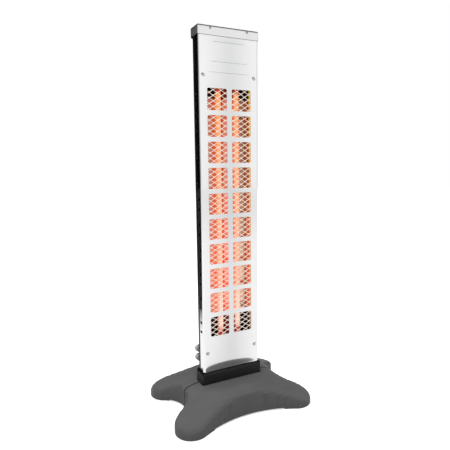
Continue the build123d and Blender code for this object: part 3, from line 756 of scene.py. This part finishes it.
ceramic = Finish("ceramic")
ceramic.clouded(0.006, 4.0, (0.72, 0.69, 0.62), (0.84, 0.82, 0.76), 0.45, 0.25)
ceramic.grained(0.0007, 0.00005, 0.5)
brass = Finish("blade_brass", {"Metallic": 1.0})
brass.clouded(0.003, 4.0, (0.62, 0.44, 0.16), (0.78, 0.60, 0.28), 0.28, 0.25)
for end in ("lower", "upper"):
    for hand in ("left", "right"):
        dress(ceramic, f"ceramic_cap_{end}_{hand}")
        dress(brass, f"terminal_blade_{end}_{hand}")


def repeat_along(piece, name, count, step):
    """Repeat a piece along a step, joined to itself where the copies meet."""
    repeat = piece.modifiers.new(name, "ARRAY")
    repeat.count = count
    repeat.use_relative_offset = False
    repeat.use_constant_offset = True
    repeat.constant_offset_displace = step
    repeat.use_merge_vertices = True
    repeat.merge_threshold = 0.00002


def heated(finish, margin):
    """1 over the heated length of a tube, falling to 0 over a margin at its ends."""
    up = finish.axis("Z")
    low = up.above(heat_low - margin, heat_low + margin)
    return low * (1 - up.above(heat_high - margin, heat_high + margin))


quartz = Finish("quartz")
milk = quartz.clouded(0.010, 4.0, (0.14, 0.09, 0.07), (0.22, 0.15, 0.12), 0.18, 0.25, (1, 1, 2.5))
up_tube = quartz.axis("Z").above(heat_low, heat_high)
limb = (abs(abs(quartz.axis("X")) - tube_x) / tube_radius).above(0.62, 0.98)
core_tint = quartz.ramp(
    up_tube,
    (0.0, (0.40, 0.0, 0.0)),
    (0.03, (1.0, 0.80, 0.70)),
    (0.14, (1.0, 0.70, 0.58)),
    (0.22, (1.0, 0.46, 0.32)),
    (0.55, (1.0, 0.44, 0.25)),
    (1.0, (1.0, 0.34, 0.08)),
)
limb_tint = quartz.ramp(
    up_tube,
    (0.0, (0.30, 0.0, 0.0)),
    (0.03, (1.0, 0.20, 0.15)),
    (0.5, (1.0, 0.16, 0.06)),
    (1.0, (1.0, 0.10, 0.02)),
)
tint = quartz.blend(limb, core_tint, limb_tint)
quartz.feed("Emission Color", quartz.blend(heated(quartz, 0.006), (0.40, 0.002, 0.0), tint))
quartz.feed("Emission Strength", 0.90)
quartz.feed("Alpha", 0.40 + 0.16 * milk)

wire_metal = Finish("glowing_coil", {"Roughness": 0.5})
pulse = wire_metal.noise(0.012, 3.0, (4, 4, 1))
hot = wire_metal.blend(pulse, (1.0, 0.26, 0.06), (1.0, 0.50, 0.22))
wire_glow = wire_metal.blend(heated(wire_metal, 0.004), (0.02, 0.003, 0.0), hot)
wire_metal.feed("Base Color", wire_metal.blend(pulse, (0.10, 0.06, 0.05), (0.20, 0.13, 0.10)))
wire_metal.feed("Emission Color", wire_glow)
wire_metal.feed("Emission Strength", 1.3)

coil_start = at(coil_radius, 0, heat_low) @ Matrix.Rotation(pi / 2, 4, "X")
for hand, x in (("left", -tube_x), ("right", tube_x)):
    on_axis = at(x, tube_y, 0)
    tube = bmesh.new()
    turned(tube, tube_profile, on_axis, tube_sides)
    place_piece(f"quartz_tube_{hand}", tube, quartz, f"heating_tube_{hand}")

    coil = bmesh.new()
    wire = bmesh.ops.create_circle(
        coil, segments=wire_sides, radius=wire_radius, matrix=coil_start
    )["verts"]
    bmesh.ops.spin(
        coil,
        geom=wire + list({e for v in wire for e in v.link_edges}),
        cent=(0, 0, 0),
        axis=(0, 0, 1),
        dvec=(0, 0, coil_pitch / coil_steps),
        angle=2 * pi,
        steps=coil_steps,
    )
    move(coil, on_axis)
    face_outward(coil)
    winding = place_piece(f"glowing_coil_{hand}", coil, wire_metal, f"heating_coil_{hand}")
    repeat_along(winding, "turns", coil_turns, (0, 0, coil_pitch))

    leads = bmesh.new()
    for low, high in ((tube_low, heat_low), (heat_high, tube_high)):
        lead_profile = [(0, low), (lead_radius, low), (lead_radius, high), (0, high)]
        turned(leads, lead_profile, on_axis, lead_sides)
    place_piece(f"coil_leads_{hand}", leads, wire_metal, f"heating_coil_{hand}")

# --------------------------------------------------
# The guard: expanded stainless steel mesh with flattened diamonds, slit and stretched
# from one sheet, so that each strand is twisted. It is trapped behind the windows.
guard_half = 0.095
guard_low = 0.211
guard_high = 1.0525
guard_middle = -0.02325
diamond_columns = 7
diamond_rows = 51
diamond_width = 2 * guard_half / diamond_columns
diamond_height = (guard_high - guard_low) / diamond_rows
half_width = diamond_width / 2
half_height = diamond_height / 2
bond_height = 0.0017
bond_length = 0.0026
strand_twist = 0.00045
strand_sheet = 0.0006
strand_steps = 6
hole_roundness = 1.7


def weld(mesh, gap):
    """Join the points of a mesh that lie closer together than a gap."""
    bmesh.ops.remove_doubles(mesh, verts=mesh.verts[:], dist=gap)


# Painted light: the strands glow faintly in cream, standing in for the tubes' light on them;
# their tint and glow drift together in clouds.
guard_steel = Finish("mesh_steel", {"Metallic": 0.2, "Emission Strength": 0.14})
drawn = guard_steel.noise(0.0025, 3.0)
tint_and_glow_clouds = guard_steel.noise(0.04, 3.0)
for socket, deeper_tone, paler_tone in (
    ("Base Color", (0.93, 0.87, 0.76), (0.97, 0.93, 0.85)),
    ("Emission Color", (1.0, 0.78, 0.62), (1.0, 0.90, 0.80)),
):
    guard_steel.feed(socket, guard_steel.blend(tint_and_glow_clouds, deeper_tone, paler_tone))
guard_steel.feed("Roughness", 0.34 + 0.2 * drawn)
guard_steel.relief(drawn, 0.00003, 0.4)

strand = bmesh.new()
lower_edge, upper_edge = [], []
for step in range(strand_steps + 1):
    turn = pi / 2 * step / strand_steps
    hole_x = (half_width - bond_length) * cos(turn) ** hole_roundness
    hole_z = (half_height - bond_height) * sin(turn) ** hole_roundness
    lean = strand_twist if step else 0.0
    lower_edge.append(strand.verts.new((hole_x, -lean, hole_z)))
    upper_edge.append(strand.verts.new((half_width - hole_x, lean, half_height - hole_z)))
upper_edge.reverse()
for step in range(strand_steps):
    after = step + 1
    strand.faces.new((lower_edge[step], upper_edge[step], upper_edge[after], lower_edge[after]))
side_bond = strand.verts.new((half_width, 0, 0))
end_bond = strand.verts.new((0, 0, half_height))
strand.faces.new((lower_edge[0], side_bond, upper_edge[0]))
strand.faces.new((lower_edge[-1], upper_edge[-1], end_bond))
bmesh.ops.mirror(strand, geom=strand.faces[:], axis="X", merge_dist=touching)
lower_half = bmesh.ops.duplicate(strand, geom=strand.faces[:])["geom"]
turned_over = Matrix.Rotation(pi, 4, "X")
bmesh.ops.transform(strand, matrix=turned_over, verts=vertices(lower_half))
weld(strand, touching)
face_outward(strand)
move(strand, at(half_width - guard_half, guard_middle, guard_low + half_height))
guard = place_piece("expanded_mesh", strand, guard_steel, "guard_mesh")
repeat_along(guard, "columns", diamond_columns, (diamond_width, 0, 0))
repeat_along(guard, "rows", diamond_rows, (0, 0, diamond_height))
thicken = guard.modifiers.new("sheet", "SOLIDIFY")
thicken.thickness = strand_sheet
thicken.offset = 0.0

# --------------------------------------------------
# The front panel: polished stainless sheet, cut flat and folded to a channel, with
# twenty windows, air slots, three pressed louvres and a slight bow above the collar.
# Pan-head screws in pressed dimples fix it to the brackets.
sheet_low = 0.084
sheet_high = 1.203
sheet = 0.001
bend_steps = 5
on_line = 1e-7
outline_corner_steps = 5
panel_face = -0.025
panel_half = 0.1025
panel_depth = 0.026
panel_bend = 0.0065
panel_bend_line = panel_half - panel_bend
panel_bend_end = panel_bend_line + panel_bend * pi / 2
panel_blank_half = panel_bend_end + panel_depth - panel_bend
window_width = 0.0665
window_height = 0.0655
window_corner = 0.005
window_x = 0.04175
window_middle = 0.63175
window_pitch = 0.080
window_rows = 10
vent_depth = 0.0145
vent_line = panel_bend_end + vent_depth - panel_bend
vent_length = 0.016
vent_height = 0.009
vent_corner = 0.0042
vent_offset = 0.0156
louvre_depth = 0.002
louvre_start = 0.3
louvre_end = 0.004
louvres = ((0.106, 0.012, 1.1595), (0.127, 0.012, 1.102), (0.141, 0.020, 1.071))
bow_half = 0.095
bow_low = 0.098
bow_deepest = 0.120
bow_high = 0.168
bow_depth = 0.0024
bow = (2 * bow_half, bow_high - bow_low, bow_low)
patch_columns = 44
patch_row = 0.004
patch_least_rows = 8
dimple_x = 0.087
dimple_heights = (0.1827, 1.063)
dimples = [(side * dimple_x, height) for side in (-1, 1) for height in dimple_heights]
dimple_radius = 0.007
dimple_depth = 0.0015
dimple_profile = [
    (dimple_radius, 0),
    (dimple_radius - 0.0007, -0.0002),
    (dimple_radius - 0.0018, -dimple_depth + 0.0002),
    (dimple_radius - 0.0026, -dimple_depth),
    (0.0022, -dimple_depth),
]
hole_sides = 32
cap_shadow = 1.1762
upright = Matrix.Rotation(pi / 2, 4, "X")


def flat_outline(mesh, width, height, centre, corner):
    """The outline of a rectangle in a flat blank, with rounded corners."""
    spread = at(*centre, 0) @ Matrix.Diagonal((width, height, 1, 1))
    made = bmesh.ops.create_grid(mesh, x_segments=1, y_segments=1, size=0.5, matrix=spread)
    if corner:
        rounded(mesh, made["verts"], corner, "VERTICES", outline_corner_steps)
    bmesh.ops.delete(mesh, geom=mesh.faces[:], context="FACES_ONLY")


def round_outline(mesh, radius, centre):
    """The outline of a round hole in a flat blank."""
    spread = at(*centre, 0)
    bmesh.ops.create_circle(mesh, segments=hole_sides, radius=radius, matrix=spread)


def blank(half):
    """The outline of a flat blank as high as the tower, and of a given half width."""
    mesh = bmesh.new()
    centre = (0, (sheet_low + sheet_high) / 2)
    flat_outline(mesh, 2 * half, sheet_high - sheet_low, centre, 0)
    return mesh


def stand_up(mesh):
    """Fill the outlines in a blank with its sheet, and stand it up to face the front."""
    bmesh.ops.triangle_fill(mesh, use_beauty=True, edges=mesh.edges[:], normal=(0, 0, 1))
    move(mesh, upright)


def formed_patch(mesh, width, height, bottom, matrix):
    """A grid in the sheet, from its bottom up, whose points a louvre or the bow moves."""
    spread = at(0, bottom + height / 2, 0)
    return bmesh.ops.create_grid(
        mesh,
        x_segments=patch_columns,
        y_segments=max(patch_least_rows, round(height / patch_row)),
        size=0.5,
        matrix=matrix @ spread @ Matrix.Diagonal((width, height, 1, 1)),
    )["verts"]


def fold(mesh, bends, thickness):
    """Give a skin that stands upright and faces the front the thickness of its sheet,
    and fold it back along pairs of upright lines. A bend is the place of its line on
    the blank, its outer radius and its turn."""
    for line, radius, turn in bends:
        for step in range(bend_steps + 1):
            for side in (-1, 1):
                place = side * (line + radius * turn * step / bend_steps)
                cut_across(mesh, (1, 0, 0), place, on_line)
    inner = bmesh.ops.extrude_face_region(mesh, geom=mesh.faces[:])["geom"]
    bmesh.ops.translate(mesh, vec=(0, thickness, 0), verts=vertices(inner))
    for line, radius, turn in reversed(bends):
        arc = radius * turn
        for v in mesh.verts:
            past = abs(v.co.x) - line
            if past <= on_line:
                continue
            side = 1 if v.co.x > 0 else -1
            angle = min(past, arc) / radius
            beyond = max(0.0, past - arc)
            depth = v.co.y
            v.co.x = side * (line + (radius - depth) * sin(angle) + beyond * cos(angle))
            v.co.y = radius - (radius - depth) * cos(angle) + beyond * sin(angle)
    face_outward(mesh)


steel = Finish("polished_steel", {"Metallic": 1.0})
smudge = steel.noise(0.09, 5.0, (1, 1, 1.6))
polish = steel.noise(0.0016, 2.0, (1, 1, 14))
# The sheet is darker down its middle and paler towards its sides.
middle_tone = steel.blend(smudge, (0.69, 0.695, 0.70), (0.79, 0.79, 0.79))
side_tone = steel.blend(smudge, (0.84, 0.84, 0.845), (0.92, 0.92, 0.915))
sheet_tone = steel.blend(abs(steel.axis("X")).above(0.01, 0.085), middle_tone, side_tone)
# Painted shadow: a dark line on the sheet just under the cap's lower edge.
painted_cap_shadow = 1 - abs(steel.axis("Z") - cap_shadow).above(0.0004, 0.0016)
steel.feed("Base Color", steel.blend(painted_cap_shadow * 0.8, sheet_tone, (0.20, 0.20, 0.20)))
steel.feed("Roughness", 0.045 + 0.05 * smudge + 0.02 * polish)
steel.relief(steel.noise(0.16, 2.0), 0.0012, 0.25)

panel = blank(panel_blank_half)
for row in range(window_rows):
    centre = window_middle + window_pitch * (row - (window_rows - 1) / 2)
    for side in (-1, 1):
        window = (side * window_x, centre)
        flat_outline(panel, window_width, window_height, window, window_corner)
        for shift in (-vent_offset, vent_offset):
            vent = (side * vent_line, centre + shift)
            flat_outline(panel, vent_length, vent_height, vent, vent_corner)
for dimple in dimples:
    round_outline(panel, dimple_radius, dimple)
for pressed in (*louvres, bow):
    patch = formed_patch(panel, *pressed, Matrix.Identity(4))
    inside = [v for v in patch if not v.is_boundary]
    bmesh.ops.delete(panel, geom=inside, context="VERTS")
stand_up(panel)
for width, height, lip in louvres:
    for v in formed_patch(panel, width, height, lip, upright):
        from_end = min(1.0, (width / 2 - abs(v.co.x)) / louvre_end)
        down = (lip + height - v.co.z) / height
        rise = down**2 / (2 * louvre_start) if down < louvre_start else down - louvre_start / 2
        swell = rise / (1 - louvre_start / 2)
        v.co.y = -louvre_depth * sqrt(max(0.0, 1 - (1 - from_end) ** 2)) * swell
for v in formed_patch(panel, *bow, upright):
    bow_end = bow_high if v.co.z > bow_deepest else bow_low
    fall = (bow_end - v.co.z) / (bow_end - bow_deepest)
    v.co.y = bow_depth * (1 - (v.co.x / bow_half) ** 4) * fall**2
for x, z in dimples:
    turned(panel, dimple_profile, at(x, 0, z) @ upright, hole_sides)
weld(panel, 2 * touching)
fold(panel, [(panel_bend_line, panel_bend, pi / 2)], sheet)
move(panel, at(0, panel_face, 0))
flatten(place_piece("front_sheet", panel, steel, "front_panel"))

# --------------------------------------------------
# The rear cover: black powder-coated sheet with two bevels, folded from one blank. It
# has two groups of vents, and holes for the gland and the two switches.
cover_face = 0.038
cover_bends = [(0.080372, 0.002, pi / 4), (0.10857, 0.002, pi / 4)]
cover_blank_half = 0.12931
rear_vent_width = 0.070
rear_vent_height = 0.004
rear_vent_corner = 0.0019
rear_vent_pitch = 0.010
rear_vent_rows = 6
rear_vent_groups = (0.254, 1.1075)
gland_hole_radius = 0.008
switch_heights = {"lower": 0.153, "upper": 0.184}
switch_blank_x = 0.09526
switch_hole_radius = 0.008

black_paint = Finish("black_paint")
black_paint.clouded(
    0.07, 4.0, (0.006, 0.006, 0.0065), (0.013, 0.013, 0.0135), 0.40, 0.14, (1, 1, 2)
)
black_paint.relief(black_paint.noise(0.0013), 0.00004, 0.25)

cover = blank(cover_blank_half)
for group in rear_vent_groups:
    for row in range(rear_vent_rows):
        centre = (0, group + rear_vent_pitch * (row - (rear_vent_rows - 1) / 2))
        flat_outline(cover, rear_vent_width, rear_vent_height, centre, rear_vent_corner)
round_outline(cover, gland_hole_radius, (0, gland_height))
for height in switch_heights.values():
    round_outline(cover, switch_hole_radius, (switch_blank_x, height))
stand_up(cover)
fold(cover, cover_bends, sheet)
move(cover, Matrix.Rotation(pi, 4, "Z") @ at(0, -cover_face, 0))
flatten(place_piece("rear_sheet", cover, black_paint, "rear_cover"))

# --------------------------------------------------
# The cap: a drawn steel cover over the top of the tower, open below, with a rounded
# top edge. Two screws hold it at the front.
cap_half = 0.1037
cap_front = -0.026
cap_rear = 0.0392
cap_low = 1.177
cap_high = 1.2045
cap_bevel = 0.011
cap_corner_sum = cap_half + cap_rear - cap_bevel
cap_corner = 0.0042
cap_edge = 0.0038
cap_edge_steps = 5

cap_steel = Finish("cap_steel", {"Metallic": 0.86})
cap_smudge = cap_steel.noise(0.06, 5.0)
cap_polish = cap_steel.noise(0.0016, 2.0, (14, 1, 1))
cap_tone = cap_steel.blend(cap_smudge, (0.74, 0.745, 0.75), (0.86, 0.86, 0.855))
# Painted reflection: a dark band on the cap just under its rounded top edge, widening the dark
# line that the edge mirrors.
top_edge_reflection = cap_steel.axis("Z").above(cap_high - 0.0058, cap_high - 0.0040)
cap_steel.feed("Base Color", cap_steel.blend(top_edge_reflection * 0.8, cap_tone, (0.16, 0.16, 0.16)))
cap_steel.feed("Roughness", 0.08 + 0.10 * cap_smudge + 0.03 * cap_polish)
cap_steel.relief(cap_steel.noise(0.12, 2.0), 0.0009, 0.25)

cap = bmesh.new()
cap_corners = housing_section(cap, cap_half, cap_front, cap_rear, cap_corner_sum, cap_low)
rounded(cap, cap_corners, cap_corner, "VERTICES", corner_steps)
cap_top = move_face(cap, cap.faces[:][0], cap_high)
rounded(cap, list(cap_top.edges), cap_edge, "EDGES", cap_edge_steps)
face_up(cap)
bmesh.ops.solidify(cap, geom=cap.faces[:], thickness=sheet)
flatten(place_piece("cap_shell", cap, cap_steel, "top_cap"))

# --------------------------------------------------
# Pan-head screws with a cross recess, in stainless steel: four in the panel's dimples,
# two in the cap, four in the rear cover.
head_radius = 0.0038
head_height = 0.0022
head_flat = 0.0022
head_sides = 32
shank_radius = 0.002
recess_reach = 0.00175
recess_half = 0.00045
recess_depth = 0.0013
recess_taper = 0.72
panel_screw_length = 0.008
rear_screw_length = 0.007
rear_screw_x = 0.042
cap_screw_length = 0.006
cap_screw_x = 0.062
cap_screw_height = 1.1965


def pan_screws(places, matrix, length):
    """Screws whose heads stand on a plane, at places given in that plane."""
    mesh = bmesh.new()
    lift = at(0, 0, head_height)
    bmesh.ops.create_circle(mesh, segments=head_sides, radius=head_flat, matrix=lift)
    ring = mesh.edges[:]
    bmesh.ops.create_grid(mesh, x_segments=3, y_segments=3, size=1.5)
    corners = [f for f in mesh.faces if min(map(abs, f.calc_center_median().xy)) > 0.5]
    bmesh.ops.delete(mesh, geom=corners, context="FACES")
    for v in mesh.verts:
        if v.co.z < head_height / 2:
            arms = [recess_reach if abs(c) > 1 else recess_half for c in v.co.xy]
            v.co = (copysign(arms[0], v.co.x), copysign(arms[1], v.co.y), head_height)
    floor = mesh.faces[:]
    mouth = [e for e in mesh.edges if e.is_boundary]
    sunk = bmesh.ops.extrude_face_region(mesh, geom=floor)["geom"]
    bmesh.ops.delete(mesh, geom=[f for f in floor if f.is_valid], context="FACES_ONLY")
    for v in vertices(sunk):
        x, y = v.co.xy * recess_taper
        v.co = (x, y, head_height - recess_depth)
    bmesh.ops.triangle_fill(mesh, use_beauty=True, edges=ring + mouth, normal=(0, 0, 1))
    profile = [
        (head_flat, head_height),
        (head_radius - 0.0007, head_height - 0.0003),
        (head_radius - 0.0002, head_height - 0.0008),
        (head_radius, head_height - 0.0014),
        (head_radius, 0),
        (shank_radius, 0),
        (shank_radius, 0.0006 - length),
        (shank_radius - 0.0005, -length),
        (0, -length),
    ]
    turned(mesh, profile, Matrix.Identity(4), head_sides)
    weld(mesh, touching)
    face_outward(mesh)
    screw = mesh.faces[:] + mesh.edges[:] + mesh.verts[:]
    for place in places[1:]:
        copy = bmesh.ops.duplicate(mesh, geom=screw)["geom"]
        bmesh.ops.translate(mesh, vec=(*place, 0), verts=vertices(copy))
    bmesh.ops.translate(mesh, vec=(*places[0], 0), verts=vertices(screw))
    move(mesh, matrix)
    return mesh


screw_steel = Finish("screw_steel", {"Metallic": 1.0})
turning = screw_steel.clouded(0.0012, 4.0, (0.40, 0.40, 0.41), (0.58, 0.58, 0.58), 0.24, 0.2)
screw_steel.relief(turning, 0.00002, 0.4)

rear_places = [(side * rear_screw_x, z) for side in (-1, 1) for z in dimple_heights]
cap_places = [(side * cap_screw_x, cap_screw_height) for side in (-1, 1)]
for name, places, length, plane, half_turns in (
    ("panel", dimples, panel_screw_length, panel_face + dimple_depth, 0),
    ("cap", cap_places, cap_screw_length, cap_front, 0),
    ("rear", rear_places, rear_screw_length, -cover_face, 1),
):
    turn = Matrix.Rotation(half_turns * pi, 4, "Z")
    screws = pan_screws(places, turn @ at(0, plane, 0) @ upright, length)
    place_piece(f"{name}_pan_screws", screws, screw_steel, f"{name}_screws")

# --------------------------------------------------
# Two push switches on the left rear bevel: a grey moulded ring and a rubber boot each,
# with the plunger and the switch body behind. The boot and the plunger press in.
bevel_place = Vector((-0.0912, 0.028, 0))
bevel_out = Vector((-1, 1, 0)).normalized()
switch_sides = 56
ring_radius = 0.0138
ring_height = 0.007
ring_bore = 0.01205
ring_floor = 0.0012
ring_hole = 0.008
ring_profile = [
    (ring_hole, 0),
    (ring_radius, 0),
    (ring_radius, ring_height - 0.0016),
    (ring_radius - 0.0004, ring_height - 0.0006),
    (ring_radius - 0.0010, ring_height),
    (ring_bore + 0.0004, ring_height),
    (ring_bore, ring_height - 0.0005),
    (ring_bore, ring_floor),
    (ring_hole, ring_floor),
    (ring_hole, 0),
]
boot_radius = 0.01175
boot_bore = 0.00975
boot_low = 0.0046
boot_shoulder = 0.008
boot_ceiling = 0.009
dome_turns = [radians(turn) for turn in range(10, 90, 10)]
boot_profile = [
    (boot_bore, boot_low),
    (boot_radius - 0.0004, boot_low),
    (boot_radius, boot_low + 0.0004),
    (boot_radius, boot_shoulder),
    *((boot_radius * cos(t), boot_shoulder + boot_radius * sin(t)) for t in dome_turns),
    (0, boot_shoulder + boot_radius),
    (0, boot_ceiling),
    (boot_bore - 0.0006, boot_ceiling),
    (boot_bore, boot_ceiling - 0.0006),
    (boot_bore, boot_low),
]

switch_plastic = Finish("switch_plastic")
switch_plastic.clouded(0.004, 4.0, (0.016, 0.016, 0.017), (0.034, 0.034, 0.035), 0.38, 0.2)
switch_plastic.grained(0.0007, 0.00004, 0.4)
dress(switch_plastic, "tilt_switch", "switch_body_lower", "switch_body_upper")
dress(switch_plastic, "switch_plunger_lower", "switch_plunger_upper")

ring_plastic = Finish("bezel_plastic")
ring_plastic.clouded(0.003, 4.0, (0.20, 0.205, 0.21), (0.27, 0.275, 0.28), 0.42, 0.16)
ring_plastic.grained(0.0008, 0.00004, 0.5)

boot_rubber = Finish("button_rubber", {"Specular IOR Level": 0.4})
boot_rubber.clouded(0.005, 5.0, (0.46, 0.465, 0.47), (0.58, 0.585, 0.59), 0.52, 0.18)
boot_rubber.grained(0.0007, 0.00004, 0.5)

for name, height in switch_heights.items():
    foot_of_ring = Matrix.Translation(bevel_place + Vector((0, 0, height)))
    onto = foot_of_ring @ bevel_out.to_track_quat("Z", "Y").to_matrix().to_4x4()
    ring = bmesh.new()
    turned(ring, ring_profile, onto, switch_sides)
    place_piece(f"switch_ring_{name}", ring, ring_plastic, f"switch_bezel_{name}")
    boot = bmesh.new()
    turned(boot, boot_profile, onto, switch_sides)
    node, button = f"switch_button_{name}", f"{name}_button"
    place_piece(f"rubber_boot_{name}", boot, boot_rubber, node, body=button)

# --------------------------------------------------
# Studio: a pale floor and soft light from all round, with the camera where the
# photograph was taken from. Rays that a mirror sends on see a darker rear left side.
camera_place = Vector((-0.6225, -1.2562, 0.7936))
camera_yaw = radians(26.076)
camera_pitch = radians(7.915)
camera_roll = radians(-0.6476)
camera_lens = 34.644
camera_sensor = 36.0
floor_half = 12.0
rear_share, left_share = 0.90, 0.436
black, white = (0.0, 0.0, 0.0), (1.0, 1.0, 1.0)

camera_data = bpy.data.cameras.new("camera")
camera_data.lens = camera_lens
camera_data.sensor_width = camera_sensor
camera = bpy.data.objects.new("camera", camera_data)
camera.matrix_world = (
    Matrix.Translation(camera_place)
    @ Matrix.Rotation(-camera_yaw, 4, "Z")
    @ Matrix.Rotation(pi / 2 - camera_pitch, 4, "X")
    @ Matrix.Rotation(camera_roll, 4, "Z")
)
scene = bpy.context.scene
scene.collection.objects.link(camera)
scene.camera = camera
scene.view_settings.view_transform = "Standard"

floor_mesh = bmesh.new()
bmesh.ops.create_grid(floor_mesh, x_segments=4, y_segments=4, size=floor_half)
floor_data = bpy.data.meshes.new("studio_floor")
floor_mesh.to_mesh(floor_data)
floor_mesh.free()
floor = bpy.data.objects.new("studio_floor", floor_data)
scene.collection.objects.link(floor)

paper = Finish("studio_floor", {"Roughness": 0.9})
floor_data.materials.append(paper.material)
paper_x, paper_y = paper.axis("X"), paper.axis("Y")
mirrored = paper.ray("Glossy")
behind_left = paper_y * rear_share - paper_x * left_share
far_floor = mirrored * (
    0.83 * behind_left.above(0.68, 1.05) + 0.17 * behind_left.above(1.6, 2.3)
)
distance = (paper_x**2 + paper_y**2) ** 0.5
in_mirrors = mirrored * (0.18 + 0.36 * distance.above(0.8, 3.0))
seen = paper.ray("Camera") + paper.ray("Transmission") + in_mirrors - far_floor
dimmed = far_floor + (paper.ray("Diffuse") * 0.7 + mirrored * 0.16)
paper.feed("Base Color", paper.blend(dimmed, (0.90, 0.90, 0.90), (0.01, 0.01, 0.01)))
paper.feed("Emission Color", paper.blend(seen, black, white))
paper.feed("Emission Strength", 0.45)

world = bpy.data.worlds.new("studio")
scene.world = world
sky = Shading(world, "Generated")
up = sky.axis("Z")
toward_rear_left = sky.axis("Y") * rear_share - sky.axis("X") * left_share
over_floor = up.above(-0.30, -0.10)
dark_side = toward_rear_left.above(-0.85, 0.55) * over_floor
dark_back = sky.axis("Y").above(0.05, 0.45) * over_floor
dark_ceiling = up.above(0.60, 0.70)
haze_line = 0.03 * (1 - up.above(0.04, 0.18))
sky_in_mirrors = (
    (1 - haze_line)
    * (1 - 0.98 * dark_side)
    * (1 - 0.96 * dark_ceiling)
    * (1 - 0.92 * dark_back)
)
low_light = 0.78 - 0.76 * up.above(0.0, 0.80)
strength = 1 - sky.ray("Glossy") * (1 - sky_in_mirrors) - sky.ray("Diffuse") * low_light
sky.join(white, sky.nodes["Background"].inputs["Color"])
sky.join(strength, sky.nodes["Background"].inputs["Strength"])


def soft_light(name, place, aim, size, power):
    """A square lamp at a place, aimed at a point, that mirrors don't show."""
    light = bpy.data.lights.new(name, "AREA")
    light.size = size
    light.energy = power
    lamp = bpy.data.objects.new(name, light)
    lamp.location = place
    lamp.rotation_euler = (Vector(aim) - Vector(place)).to_track_quat("-Z", "Y").to_euler()
    lamp.visible_glossy = False
    scene.collection.objects.link(lamp)


soft_light("key", (-0.9, -1.0, 3.4), (0, 0, 0.2), 1.2, 54)
soft_light("back", (-0.6, 2.6, 2.2), (0, 0, 0.5), 1.4, 22)
